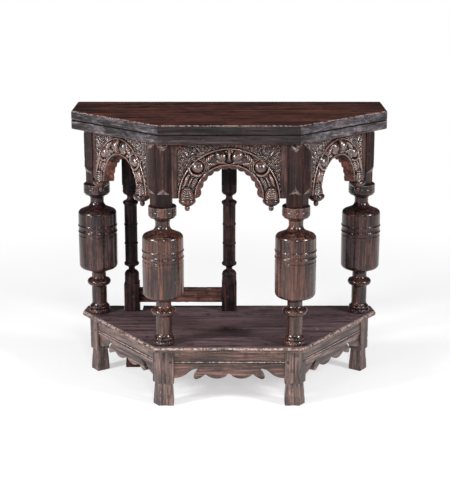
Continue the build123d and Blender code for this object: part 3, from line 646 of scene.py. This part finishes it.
def turned_profile(node, axis, low, high):
    """(height, radius) in millimetres of a turned CAD node between two heights, bottom first."""
    found = {}
    for v in frame["nodes"][node].data.vertices:
        height = v.co.z / MM
        if low - HEIGHT_SLACK <= height <= high + HEIGHT_SLACK:
            radius = math.hypot(v.co.x - axis[0], v.co.y - axis[1]) / MM
            key = round(height, 1)
            found[key] = max(found.get(key, 0), radius)
    return sorted(found.items())


def resampled(profile, step):
    """The profile with more points, so that no stretch is longer than step."""
    dense = [profile[0]]
    for (z0, r0), (z1, r1) in zip(profile, profile[1:]):
        parts = max(1, math.ceil(math.hypot(z1 - z0, r1 - r0) / step))
        for k in range(1, parts + 1):
            dense.append((z0 + (z1 - z0) * k / parts, r0 + (r1 - r0) * k / parts))
    return dense


def worn_radius(radius, way, height, seed):
    """The radius at one point of a turning: out of true, tooled, and knocked near the shelf."""
    place = Vector((way.x * AROUND_LEG, way.y * AROUND_LEG, height / ALONG_LEG + seed))
    for depth, factor in (OUT_OF_TRUE, TOOLED):
        radius -= depth * noise_share(place * factor)
    if height < BASE_TOP:
        place = Vector((way.x * AROUND_KNOCK, way.y * AROUND_KNOCK, height / ALONG_KNOCK + seed))
        radius -= KNOCKS * max(0.0, noise.noise(place) - KNOCK_THRESHOLD)
    return radius


def add_turning(bm, profile, axis, seed):
    """Adds a lathe-turned surface with scribed lines about an upright axis."""
    rings = []
    for height, radius in resampled(profile, LEG_STEP):
        for line, depth in RING_LINES:
            radius -= depth * math.exp(-(((height - line) / RING_LINE_WIDTH) ** 2))
        ring = []
        for k in range(LEG_SEGMENTS):
            angle = math.tau * k / LEG_SEGMENTS
            way = Vector((math.cos(angle), math.sin(angle), 0))
            out = worn_radius(radius, way, height, seed)
            ring.append(bm.verts.new((axis[0] + way.x * out * MM, axis[1] + way.y * out * MM, height * MM)))
        rings.append(ring)
    for lower, upper in zip(rings, rings[1:]):
        for k in range(LEG_SEGMENTS):
            j = (k + 1) % LEG_SEGMENTS
            bm.faces.new((lower[k], lower[j], upper[j], upper[k]))
    bm.faces.new(rings[0][::-1])
    bm.faces.new(rings[-1])


def make_legs(materials):
    """Each leg: the turned part under a worn block."""
    for number, where in enumerate(LEG_PLACES):
        node = f"leg_{where}"
        vertices = [v.co for v in frame["nodes"][node].data.vertices]
        tenon = [place for place in vertices if place.z < (SHELF_TOP - TENON_DEPTH) * MM]
        axis = (sum(c.x for c in tenon) / len(tenon), sum(c.y for c in tenon) / len(tenon))
        profile = turned_profile(node, axis, SHELF_TOP, BLOCK_BOTTOM - BLOCK_OVERLAP)
        bm = worn_copy(node, "block", number, BLOCK_CUTS, keep_above=BLOCK_BOTTOM - BLOCK_CUT_GAP)
        block_faces = set(bm.faces)
        add_turning(bm, profile, axis, number * LEG_SEED_STEP)
        for face in bm.faces:
            face.material_index = 0 if face in block_faces else 1
        turned = materials["turned_outer_shaded" if "outer" in where else "turned"]
        new_piece(f"{node}_worn", bm, node, [materials["block"], turned])


# Worn boards, rails, posts and jewels, in millimetres

BOARD_CUTS = ((ACROSS, 5.0), (UP, 4.5), (INWARD, 24.0))
FOOT_CUTS = ((UP, 6.0), (ACROSS, 8.0), (INWARD, 8.0))
RAIL_CUT_ALONG = 5.0
RAIL_CUT_UP = 6.0
GATE_RAIL_CUTS = ((ACROSS, 7.0), (UP, 9.0))
GATE_POST_CUTS = ((UP, 9.0),)
JEWEL_CUTS = ((UP, 5.0),)
# The jewels' hips are painted pale all the way down, as painted highlights and reflections
JEWEL_HIP_SHEEN_DEPTH = 500.0
JEWEL_SHADING_ANGLE = 20
RAIL_GROOVES = (133.5, 140.5)
RAIL_GROOVE_HALF = 1.6
RAIL_BEAD_PALE = 0.9
FACING_OUT = 0.3
LEVEL_ON_LEAF = 0.5
LEVEL_ON_SHELF = 0.97
SQUARE_TO_FRONT = 0.95


def board_joints(group):
    """Where along Y the three boards of a leaf or of the shelf meet."""
    return [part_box(f"{group}_board_{board}")[1].y for board in ("front", "middle")]


def leaf_slot(normal):
    """The slot of a leaf's face: its flat sides, its front and back edges, or its left or right edges."""
    if abs(normal.z) > LEVEL_ON_LEAF:
        return 0
    if abs(normal.y) > SQUARE_TO_FRONT:
        return 1
    return 2 if normal.x * normal.y > 0 else 3


def shelf_slot(normal):
    """The slot of a shelf's face: its flat sides, or its edges."""
    return int(abs(normal.z) < LEVEL_ON_SHELF)


def make_boards(materials):
    """The boards of both leaves and of the shelf, rubbed along their edges."""
    for number, group in enumerate(("upper_leaf", "lower_leaf", "shelf")):
        if group == "shelf":
            kind, choose_slot, edges = "shelf", shelf_slot, ["shelf_edge"]
        else:
            kind, choose_slot, edges = "leaf", leaf_slot, ["top_edge", "cant_left", "cant_right"]
        for board in BOARDS:
            node = f"{group}_board_{board}"
            bm = worn_copy(node, kind, number, BOARD_CUTS, joints=board_joints(group))
            for face in bm.faces:
                face.material_index = choose_slot(face.normal)
            finishes = [finish_of(node), *edges]
            new_piece(f"{node}_worn", bm, node, [materials[finish] for finish in finishes])


def mark_rail(bm, outward):
    """Darkens the two grooves along a rail's outer face as painted shade, and paints the bead between them
    pale.
    """
    wear_and_painted_light = bm.faces.layers.float["wear_and_painted_light"]
    low, high = RAIL_GROOVES
    for face in bm.faces:
        height = face.calc_center_median().z / MM
        if face.normal.dot(outward) < FACING_OUT:
            continue
        if min(abs(height - low), abs(height - high)) < RAIL_GROOVE_HALF:
            # Painted shade in the grooves
            face[wear_and_painted_light] = WAX_AND_SHADE
        elif low < height < high:
            face[wear_and_painted_light] = RAIL_BEAD_PALE


def make_base(materials):
    """Foot posts, rails and aprons."""
    for number, where in enumerate(LEG_PLACES):
        node = f"foot_post_{where}"
        bm = worn_copy(node, "foot", number, FOOT_CUTS)
        new_piece(f"{node}_worn", bm, node, [materials["foot"]])
    for number, (side, turn) in enumerate(SIDE_TURNS.items()):
        along = (math.cos(turn), math.sin(turn), 0)
        for kind in ("rail", "apron"):
            node = f"{kind}_{side}"
            bm = worn_copy(node, "rail", number, ((along, RAIL_CUT_ALONG), (UP, RAIL_CUT_UP)))
            if kind == "rail":
                mark_rail(bm, Vector((math.sin(turn), -math.cos(turn), 0)))
            new_piece(f"{node}_worn", bm, node, [materials[f"rail_{side}"]])


def make_gate(materials):
    """The gate's rails and posts, and the two rails behind."""
    for number, node in enumerate(("gate_lower_rail", "gate_upper_rail", "rail_rear", "frieze_rail_rear")):
        bm = worn_copy(node, "gate_rail", number, GATE_RAIL_CUTS)
        new_piece(f"{node}_worn", bm, node, [materials["gate_rail"]])
    for number, node in enumerate(("gate_leg", "gate_pivot_post")):
        bm = worn_copy(node, "gate_post", number, GATE_POST_CUTS)
        new_piece(f"{node}_worn", bm, node, [materials["gate"]])


def make_jewels(materials):
    """The hipped ridges on the blocks, with worn arrises and all their hips painted pale as painted
    highlights and painted reflections of the floor.
    """
    names = [name for name in sorted(frame["nodes"]) if name.startswith("jewel")]
    for number, node in enumerate(names):
        bm = worn_copy(node, "jewel", number, JEWEL_CUTS, rubbed_depth=JEWEL_HIP_SHEEN_DEPTH)
        new_piece(f"{node}_worn", bm, node, [materials["block"]], sharp=JEWEL_SHADING_ANGLE)


# Carved arcades, in millimetres in a side's own frame: X along it, Y inward, Z up from the arch's centre

BOARD_FRONT = 2.0
BOARD_BACK = 27.0
BOARD_HOUSED = 0.6
OPENING_HALF = {"front": 165.0, "left": 167.5, "right": 167.5}
FRONT_ARRIS = 97.0
SCALLOPS = 12
SCALLOP_VALLEY = 85.5
SCALLOP_DEPTH = 4.5
SCALLOP_RUN_OUT = 0.7
ARRIS_WIDTH = 1.0
BAND = (101.5, 141.8)
BAND_MIDDLE = 121.5
BAND_FLOOR = -5.0
BAND_SWELL = 3.5
BAND_SWELL_POWER = 0.8
BAND_RUN_OUT = (0.5, 2.0)
# Beads as radius and half width, and the quirk cut on each side of them as depth and width
INNER_BEAD = (98.8, 2.3)
OUTER_BEAD = (144.8, 2.8)
BEAD_HEIGHT = 3.6
BEAD_GAP = 1.0
QUIRK = (1.1, 0.7)
# Where the flat stiles and the flat head begin, and over what width the carving runs out into them
STILE_EDGE = 149.0
STILE_RUN_OUT = (-1.0, 0.3)
HEAD_EDGE = 157.5
HEAD_RUN_OUT = 1.2
NOTHING = -99.0
NEARLY_NOTHING = 1e-6

LEAF_ROUNDNESS = 0.4
MIDRIB_WIDTH = 1.3
RIB_PITCH = 5.5
RIB_SLANT = 1.2
BAND_LEAF_SWELL = 0.85
BAND_LEAF_ROUNDNESS = 0.3
BAND_RIB_SLANT = 0.45

# The tulip's petals: lean from upright, length, half width and height, mirrored
APEX_FOOT = (0.0, 101.5)
APEX_PETALS = (
    (0.0, 48.0, 5.5, 19.0),
    (76.0, 40.0, 7.5, 10.5),
)
APEX_PETAL_SWELL = 1.7
# The tulip's big lobes: middle, half length, half width, lean from upright and height, mirrored
APEX_LOBE = ((23.0, 124.0), 22.0, 16.5, 35.0, 15.0)
DOME_POWER = 0.6

# The haunch's boss: angle above the springing, distance from the arch's centre, radius and height
BOSS_ARC = 45.5
BOSS_OUT = 129.0
BOSS_RADIUS = 19.5
BOSS_HEIGHT = 14.5
# The ridges round it: radii, half width, height of the first, drop from one to the next, and bearing
RIDGE_RADII = (22.3, 27.1, 31.9)
RIDGE_HALF = 2.2
RIDGE_HEIGHT = 9.0
RIDGE_DROP = 1.5
RIDGE_BEARING = math.radians(BOSS_ARC + 95)
RIDGE_FADE = (-0.35, 0.3)
# The curl below it: radius, half width, height and bearing
CURL_RADIUS = 24.3
CURL_HALF = 4.4
CURL_HEIGHT = 12.0
CURL_BEARING = math.radians(-56)
CURL_FADE = (0.1, 0.75)

# Leaves of the band: angles, radii of the middle line, half width, height, depth and pitch of the ribs
BAND_LEAVES = (
    ((72.0, 54.0), (136.0, 127.0), 7.5, 12.5, 3.2, 7.0),
    ((70.0, 57.0), (109.0, 117.0), 7.0, 9.5, 1.5, 6.0),
    ((33.5, 14.0), (135.5, 134.0), 6.5, 13.0, 0.0, 6.0),
    ((35.0, 15.0), (110.0, 111.0), 9.0, 10.5, 3.4, 6.5),
    ((33.0, 15.0), (122.5, 122.5), 4.0, 10.5, 1.5, 5.0),
)

PENDANT_X = 121.0
PENDANT_Y = 3.5
CAP_RADIUS = 20.0
CAP_HEIGHT = 36.0
CAP_RIB = (2.2, 6.5)
CAP_RIB_SAG = 0.02

SPANDREL_FLOOR = -3.5
PUNCHING = 1.1
# Rows of punch marks: wave number, how far they wander and the wave number of that
PUNCHED_ACROSS = (1.5, 1.3, 0.7)
PUNCHED_UP = (1.45, 1.1, 0.6)
SPANDREL_CORNER = np.array((148.5, 156.0))
SPANDREL_FOOT = np.array((106.0, 113.0))
SPANDREL_VEIN = (3.6, 5.6)
# Leaves along the vein: reaches, place of the first and step, swing of the first and step, half width,
# height and depth of the ribs
VEIN_REACHES = (14.0, 22.0, 30.0, 36.0, 40.0, 32.0, 20.0)
VEIN_PLACES = (0.06, 0.14)
VEIN_SWING = (132, 5.0)
VEIN_LEAF = (4.0, 6.5, 1.4)
# Rows of small leaves, over the arch and beside it: first root and its step, first angle and its step,
# first length and its step, and half width
SMALL_LEAVES = 8
SMALL_LEAF_ROWS = (
    ((104.0, 122.0), (-11.0, 4.6), (74.0, -4.0), (32.0, -3.6), 3.4),
    ((122.0, 104.0), (3.6, -13.0), (16.0, 4.0), (27.0, -3.2), 3.6),
)
SMALL_LEAF_HEIGHT = 6.2
SMALL_LEAF_RIBS = 1.2

RISE_SPAN = 9.0
RISE_REACH = 7
LEVEL_RISE = 0.5
FRONT_STEPS = 112
BACK_STEPS = 6
INTRADOS_STEPS = 14
SIDE_ARC_STEPS = 96
CROWN_ARC_STEPS = 216
STILE_OVERLAP = 0.5
CARVING_SHADING_ANGLE = 50


def smooth(low, high, values):
    """0 below low, 1 above high, and a smooth step between."""
    t = np.clip((values - low) / (high - low), 0, 1)
    return t * t * (3 - 2 * t)


def leaf(x, z, root, angle, length, width, height, ribs=0.0, swell=0.8, vein=0.45):
    """Height of a leaf that grows from its root: rounded, with a sunk midrib and slanting ribs."""
    cos, sin = math.cos(math.radians(angle)), math.sin(math.radians(angle))
    along = ((x - root[0]) * cos + (z - root[1]) * sin) / length
    across = -(x - root[0]) * sin + (z - root[1]) * cos
    t = np.clip(along, 0, 1)
    half = width * np.sin(np.pi * t**swell) + NEARLY_NOTHING
    s = np.clip(np.abs(across) / half, 0, 1)
    body = height * np.sqrt(1 - s**2) * np.sin(np.pi * t) ** LEAF_ROUNDNESS
    midrib = vein * height * np.exp(-((across / MIDRIB_WIDTH) ** 2))
    run = along * length - RIB_SLANT * np.abs(across)
    slant = ribs * np.cos(2 * np.pi * run / RIB_PITCH)
    inside = (along > 0) & (along < 1) & (s < 1)
    return np.where(inside, body - midrib + slant, NOTHING)


def band_leaf(radius, arc, stretch, middles, width, height, ribs, pitch):
    """Height of a leaf that bends with the band, between two angles above the springing."""
    start, end = stretch
    share = (arc - start) / (end - start)
    t = np.clip(share, 0, 1)
    across = radius - (middles[0] + (middles[1] - middles[0]) * smooth(0, 1, t))
    half = width * np.sin(np.pi * t**BAND_LEAF_SWELL) + NEARLY_NOTHING
    s = np.clip(np.abs(across) / half, 0, 1)
    body = height * np.sqrt(1 - s**2) * np.sin(np.pi * t) ** BAND_LEAF_ROUNDNESS
    run = t * abs(math.radians(end - start)) * BAND_MIDDLE
    grooves = ribs * np.abs(np.sin(np.pi * (run + BAND_RIB_SLANT * across) / pitch))
    inside = (share > 0) & (share < 1) & (s < 1)
    return np.where(inside, body - ribs + grooves, NOTHING)


def ring_bead(distance, radius, half_width, height):
    """A half-round bead round a centre at the given radius."""
    t = np.clip((distance - radius) / half_width, -1, 1)
    return height * np.sqrt(1 - t**2)


def apex_boss(x, z):
    """The tulip at the top of the arch: two big lobes that lean apart, and petals from one foot."""
    height = np.full_like(x, NOTHING)
    for lean, length, width, rise in APEX_PETALS:
        for side in (-1, 1):
            petal = leaf(x, z, APEX_FOOT, 90 - side * lean, length, width, rise,
                         swell=APEX_PETAL_SWELL, vein=0.0)
            height = np.maximum(height, petal)
    (middle_x, middle_z), half_length, half_width, lean, rise = APEX_LOBE
    way = np.radians(90 - lean)
    along = (np.abs(x) - middle_x) * np.cos(way) + (z - middle_z) * np.sin(way)
    across = -(np.abs(x) - middle_x) * np.sin(way) + (z - middle_z) * np.cos(way)
    spread = (along / half_length) ** 2 + (across / half_width) ** 2
    lobe = np.where(spread < 1, rise * np.clip(1 - spread, 0, 1) ** DOME_POWER, NOTHING)
    return np.maximum(height, lobe)


def haunch_boss(x, z):
    """A domed boss with ridges round it towards the apex and a curl below."""
    centre_x = BOSS_OUT * math.cos(math.radians(BOSS_ARC))
    centre_z = BOSS_OUT * math.sin(math.radians(BOSS_ARC))
    distance = np.hypot(x - centre_x, z - centre_z)
    around = np.arctan2(z - centre_z, x - centre_x)
    dome = BOSS_HEIGHT * np.clip(1 - (distance / BOSS_RADIUS) ** 2, 0, 1) ** DOME_POWER
    height = np.where(distance < BOSS_RADIUS, dome, NOTHING)
    near_ridges = smooth(*RIDGE_FADE, np.cos(around - RIDGE_BEARING))
    for number, radius in enumerate(RIDGE_RADII):
        ridge = ring_bead(distance, radius, RIDGE_HALF, RIDGE_HEIGHT - RIDGE_DROP * number) * near_ridges
        height = np.maximum(height, np.where(np.abs(distance - radius) < RIDGE_HALF, ridge, NOTHING))
    near_curl = smooth(*CURL_FADE, np.cos(around - CURL_BEARING))
    curl = ring_bead(distance, CURL_RADIUS, CURL_HALF, CURL_HEIGHT) * near_curl
    return np.maximum(height, np.where(np.abs(distance - CURL_RADIUS) < CURL_HALF, curl, NOTHING))


def springing_cap(x, z):
    """The ribbed dome over each pendant, round about the pendant's axis."""
    shrink = np.sqrt(np.clip(1 - (z / CAP_HEIGHT) ** 2, 0, 1))
    reach = CAP_RADIUS * shrink
    across = x - PENDANT_X
    out = np.sqrt(np.clip(reach**2 - across**2, 0, None)) + BOARD_FRONT - PENDANT_Y
    depth, pitch = CAP_RIB
    ribs = depth * np.abs(np.sin(np.pi * (z - CAP_RIB_SAG * across**2) / pitch))
    return np.where(np.abs(across) < reach, out - depth + ribs, NOTHING)


def wandering(along, across, waves):
    """Waves along one direction that wander with the other."""
    number, wander, wander_number = waves
    return np.sin(number * along + wander * np.sin(wander_number * across))


def spandrel(x, z):
    """Leaves each side of a vein from the upper outer corner to the arch, on a punched ground."""
    height = SPANDREL_FLOOR + PUNCHING * wandering(x, z, PUNCHED_ACROSS) * wandering(z, x, PUNCHED_UP)
    vein = SPANDREL_FOOT - SPANDREL_CORNER
    direction = math.degrees(math.atan2(*vein[::-1]))
    leaves = [leaf(x, z, SPANDREL_CORNER, direction, float(np.hypot(*vein)), *SPANDREL_VEIN)]
    start, step = VEIN_PLACES
    swing, narrowing = VEIN_SWING
    for k, reach in enumerate(VEIN_REACHES):
        root = SPANDREL_CORNER + vein * (start + step * k)
        for side in (-1, 1):
            angle = direction - 180 + side * (swing - narrowing * k)
            leaves.append(leaf(x, z, root, angle, reach, *VEIN_LEAF))
    for root, root_step, angle, length, width in SMALL_LEAF_ROWS:
        for k in range(SMALL_LEAVES):
            place = (root[0] + root_step[0] * k, root[1] + root_step[1] * k)
            leaves.append(leaf(x, z, place, angle[0] + angle[1] * k, length[0] + length[1] * k, width,
                               SMALL_LEAF_HEIGHT, SMALL_LEAF_RIBS))
    for grown in leaves:
        height = np.maximum(height, grown + SPANDREL_FLOOR)
    return height


def relief(x, z):
    """How far the carved face stands out of the board's plane, in millimetres."""
    x = np.abs(x)
    radius = np.hypot(x, z)
    arc = np.degrees(np.arctan2(z, x))
    low, high = BAND
    share = np.clip((radius - low) / (high - low), 0, 1)
    floor = BAND_FLOOR + BAND_SWELL * np.sin(np.pi * share) ** BAND_SWELL_POWER
    leaves = np.zeros_like(x)
    for leaf_of_band in BAND_LEAVES:
        leaves = np.maximum(leaves, band_leaf(radius, arc, *leaf_of_band))
    past, inside = BAND_RUN_OUT
    within = smooth(low - past, low + inside, radius)
    beyond = smooth(high - inside, high + past, radius)
    band = floor + leaves * within * (1 - beyond)
    edge = OUTER_BEAD[0] + OUTER_BEAD[1] + BEAD_GAP
    height = np.where(radius < edge, band, spandrel(x, z) * smooth(edge, edge + BEAD_GAP, radius))
    quirk_depth, quirk_width = QUIRK
    for middle, half in (INNER_BEAD, OUTER_BEAD):
        near = np.abs(radius - middle)
        bead = np.maximum(height, ring_bead(radius, middle, half, BEAD_HEIGHT))
        height = np.where(near < half, bead, height)
        height = height - quirk_depth * np.exp(-(((near - half - quirk_width) / quirk_width) ** 2))
    for shape in (apex_boss, haunch_boss):
        height = np.maximum(height, floor + shape(x, z))
    height = np.maximum(height, springing_cap(x, z))
    stile = smooth(STILE_EDGE + STILE_RUN_OUT[0], STILE_EDGE + STILE_RUN_OUT[1], x)
    head = smooth(HEAD_EDGE, HEAD_EDGE + HEAD_RUN_OUT, z)
    return height * (1 - np.maximum(stile, head))


def arc_angles(half_width, rise):
    """Angles from the springing at +X to the one at -X, even along each upright and along the head.

    The board's corner at +X has an angle of its own, and the one at -X falls between two of them."""
    corner = math.atan2(rise, half_width)
    sides = np.linspace(0, corner, SIDE_ARC_STEPS, endpoint=False)
    crown = np.linspace(corner, math.pi - corner, CROWN_ARC_STEPS, endpoint=False)
    return np.concatenate([sides, crown, math.pi - sides[::-1]])


def arcade_section(angle, half_width, rise):
    """Radii of one radial section of an arcade: its face, its back and its intrados.

    The last result is how far up from the back to the face each point of the intrados lies."""
    across = half_width / max(abs(math.cos(angle)), 1e-9)
    up = rise / max(math.sin(angle), 1e-9)
    edge = min(across, up)
    inner = SCALLOP_VALLEY - SCALLOP_DEPTH * abs(math.sin(SCALLOPS * angle))
    face = np.linspace(FRONT_ARRIS, edge, FRONT_STEPS)
    back = np.linspace(edge, inner, BACK_STEPS)
    share = np.linspace(0, 1, INTRADOS_STEPS)[1:-1]
    plain = SCALLOP_VALLEY + (FRONT_ARRIS - ARRIS_WIDTH - SCALLOP_VALLEY) * share
    lobes = (inner - SCALLOP_VALLEY) * (1 - share) ** SCALLOP_RUN_OUT
    return face, back, plain + lobes, share


def arcade_row(angle, half_width, rise):
    """The points of one radial section, and how far those on its face stand out."""
    face, back, intrados, share = arcade_section(angle, half_width, rise)
    radius = np.concatenate([face, back, intrados])
    x = radius * math.cos(angle)
    z = radius * math.sin(angle)
    carved = relief(x[: len(face)], z[: len(face)])
    depth = np.concatenate([
        BOARD_FRONT - carved,
        np.full(len(back), BOARD_BACK),
        BOARD_BACK - (BOARD_BACK - BOARD_FRONT) * share,
    ])
    return np.stack([x, depth, z], axis=1), carved


def rise_above(height, count):
    """How far each point stands above its surroundings, with 0.5 for level ground.

    height has a row for each radial section, and each row of the result has count places."""
    mean = height
    for axis in (0, 1):
        pads = [(0, 0), (0, 0)]
        pads[axis] = (RISE_REACH, RISE_REACH)
        padded = np.pad(mean, pads, mode="edge")
        size = height.shape[axis]
        starts = range(2 * RISE_REACH + 1)
        mean = sum(padded.take(range(k, k + size), axis=axis) for k in starts) / len(starts)
    rise = np.clip(LEVEL_RISE + (height - mean) / RISE_SPAN, 0, 1)
    plain = np.full((len(height), count - height.shape[1]), LEVEL_RISE)
    return np.concatenate([rise, plain], axis=1)


def side_origin(side):
    """The middle of a side's board, on the plane its depths are measured from, at the arch's centre."""
    turn = SIDE_TURNS[side]
    along = Vector((math.cos(turn), math.sin(turn), 0))
    inward = Vector((-math.sin(turn), math.cos(turn), 0))
    vertices = frame["nodes"][f"arcade_{side}"].data.vertices
    depths = [v.co.dot(inward) for v in vertices]
    spread = [v.co.dot(along) for v in vertices]
    point = inward * (max(depths) - BOARD_BACK * MM) + along * ((max(spread) + min(spread)) / 2)
    return Vector((point.x, point.y, ARCH_CENTRE_Z * MM))


def arcade_slot(k, across):
    """The slot of a face by its place k along its section and its distance from the middle."""
    if k >= FRONT_STEPS + BACK_STEPS - 1:
        return 1
    if across > STILE_EDGE - STILE_OVERLAP or k >= FRONT_STEPS - 1:
        return 2
    return 0


def make_arcade(side, materials):
    """A pierced board with its carved face, its scalloped intrados and a plain back."""
    node = f"arcade_{side}"
    turn = SIDE_TURNS[side]
    rise = TOP_UNDERSIDE - ARCH_CENTRE_Z
    half_width = OPENING_HALF[side] + BOARD_HOUSED
    angles = arc_angles(half_width, rise)
    rows, carvings = zip(*(arcade_row(angle, half_width, rise) for angle in angles))
    origin = side_origin(side)
    spin = Matrix.Rotation(turn, 3, "Z")
    bm = bmesh.new()
    rise_layer = bm.verts.layers.float.new("rise")
    grid = []
    for row, rises in zip(rows, rise_above(np.array(carvings), len(rows[0]))):
        section = [bm.verts.new(spin @ (Vector(point) * MM) + origin) for point in row]
        for vertex, value in zip(section, rises):
            vertex[rise_layer] = value
        grid.append(section)
    for first, second in zip(grid, grid[1:]):
        for k in range(len(first)):
            j = (k + 1) % len(first)
            face = bm.faces.new((first[k], first[j], second[j], second[k]))
            middle = face.calc_center_median() - origin
            across = abs(middle.x * math.cos(turn) + middle.y * math.sin(turn)) / MM
            face.material_index = arcade_slot(k, across)
    bm.faces.new(grid[0])
    bm.faces.new(grid[-1][::-1])
    finishes = [materials[f"carved_{side}"], materials[f"under_{side}"], materials["stile"]]
    new_piece(f"{node}_carved", bm, node, finishes, sharp=CARVING_SHADING_ANGLE)


# Stage

CAMERA_PLACE = (0.0, -3.876, 1.456)
CAMERA_PITCH = 0.2591
CAMERA_LENS = 94.13
CAMERA_SENSOR = 36.0
CAMERA_SHIFT = (-0.0084, 0.0012)

WHITE = (1.0, 1.0, 1.0, 1.0)
FLOOR_HALF = 7.0
FLOOR_GREYS = [(0.3, (0.60, 0.60, 0.60)), (0.7, (0.63, 0.63, 0.63))]
FLOOR_NOISE_SCALE = 3.0
FLOOR_ROUGHNESS = 0.85
FLOOR_GLOW = 0.5
FLOOR_FADE = (0.7, 2.2)
WORLD_FILL = 0.07
WORLD_FILL_COLOUR = (0.93, 0.95, 1.0, 1.0)

# Soft lights: place, width and height in metres, and watts
LIGHTS = {
    "left_softbox": ((-2.9, -1.8, 1.9), (0.6, 0.9), 120),
    "right_softbox": ((2.9, -1.8, 1.9), (0.6, 0.9), 110),
    "front_softbox": ((0.45, -3.9, 2.1), (0.45, 0.6), 42),
    "top_softbox": ((0, -0.4, 3.6), (2.6, 1.8), 22),
    "low_softbox": ((-2.3, -3.0, 0.4), (0.5, 0.5), 30),
}
LIT_POINT = Vector((0, 0, 0.45))


def make_camera():
    data = bpy.data.cameras.new("camera")
    data.lens = CAMERA_LENS
    data.sensor_width = CAMERA_SENSOR
    data.shift_x, data.shift_y = CAMERA_SHIFT
    camera = bpy.data.objects.new("camera", data)
    camera.location = CAMERA_PLACE
    camera.rotation_euler = (math.pi / 2 - CAMERA_PITCH, 0, 0)
    bpy.context.scene.collection.objects.link(camera)
    bpy.context.scene.camera = camera


def make_light(name, place, size, watts):
    data = bpy.data.lights.new(name, "AREA")
    data.shape = "RECTANGLE"
    data.size, data.size_y = size
    data.energy = watts
    light = bpy.data.objects.new(name, data)
    light.location = place
    light.rotation_euler = (Vector(place) - LIT_POINT).to_track_quat("Z", "Y").to_euler()
    bpy.context.scene.collection.objects.link(light)


def floor_material():
    """Pale grey that whitens away from the table into the white behind it."""
    g = Graph("pale_floor")
    place = g.place(0.0, PLAIN_STRETCH, NO_SHIFT)
    near = g.add("BsdfPrincipled", Base_Color=g.ramp(g.noise(place, FLOOR_NOISE_SCALE), FLOOR_GREYS))
    near.inputs["Roughness"].default_value = FLOOR_ROUGHNESS
    near.inputs["Emission Color"].default_value = WHITE
    near.inputs["Emission Strength"].default_value = FLOOR_GLOW
    far = g.add("Emission", Color=WHITE, Strength=1.0)
    distance = g.add("VectorMath", {"operation": "LENGTH"}, Vector=place).outputs["Value"]
    mix = g.add("MixShader", Fac=g.levels(distance, *FLOOR_FADE))
    g.tree.links.new(near.outputs["BSDF"], mix.inputs[1])
    g.tree.links.new(far.outputs["Emission"], mix.inputs[2])
    return g.finished(mix.outputs["Shader"])


def make_floor():
    bm = bmesh.new()
    bmesh.ops.create_grid(bm, x_segments=2, y_segments=2, size=FLOOR_HALF)
    mesh = bpy.data.meshes.new("floor")
    bm.to_mesh(mesh)
    bm.free()
    floor = bpy.data.objects.new("floor", mesh)
    bpy.context.scene.collection.objects.link(floor)
    set_material(floor, floor_material())


def make_world():
    """White where the camera sees it, and a dim even light for everything else."""
    world = bpy.data.worlds.new("studio")
    bpy.context.scene.world = world
    world.use_nodes = True
    nodes, links = world.node_tree.nodes, world.node_tree.links
    nodes.clear()
    seen = nodes.new("ShaderNodeBackground")
    seen.inputs["Color"].default_value = WHITE
    seen.inputs["Strength"].default_value = 1.0
    fill = nodes.new("ShaderNodeBackground")
    fill.inputs["Color"].default_value = WORLD_FILL_COLOUR
    fill.inputs["Strength"].default_value = WORLD_FILL
    path = nodes.new("ShaderNodeLightPath")
    mix = nodes.new("ShaderNodeMixShader")
    output = nodes.new("ShaderNodeOutputWorld")
    links.new(path.outputs["Is Camera Ray"], mix.inputs["Fac"])
    links.new(fill.outputs["Background"], mix.inputs[1])
    links.new(seen.outputs["Background"], mix.inputs[2])
    links.new(mix.outputs["Shader"], output.inputs["Surface"])


def make_stage():
    make_camera()
    make_world()
    make_floor()
    for name, (place, size, watts) in LIGHTS.items():
        make_light(name, place, size, watts)
    bpy.context.scene.view_settings.view_transform = "Standard"


def main():
    make_stage()
    materials = make_materials()
    for node, piece in frame["nodes"].items():
        set_material(piece, materials[finish_of(node)])
    make_legs(materials)
    make_boards(materials)
    make_base(materials)
    make_gate(materials)
    make_jewels(materials)
    for side in SIDE_TURNS:
        make_arcade(side, materials)


main()
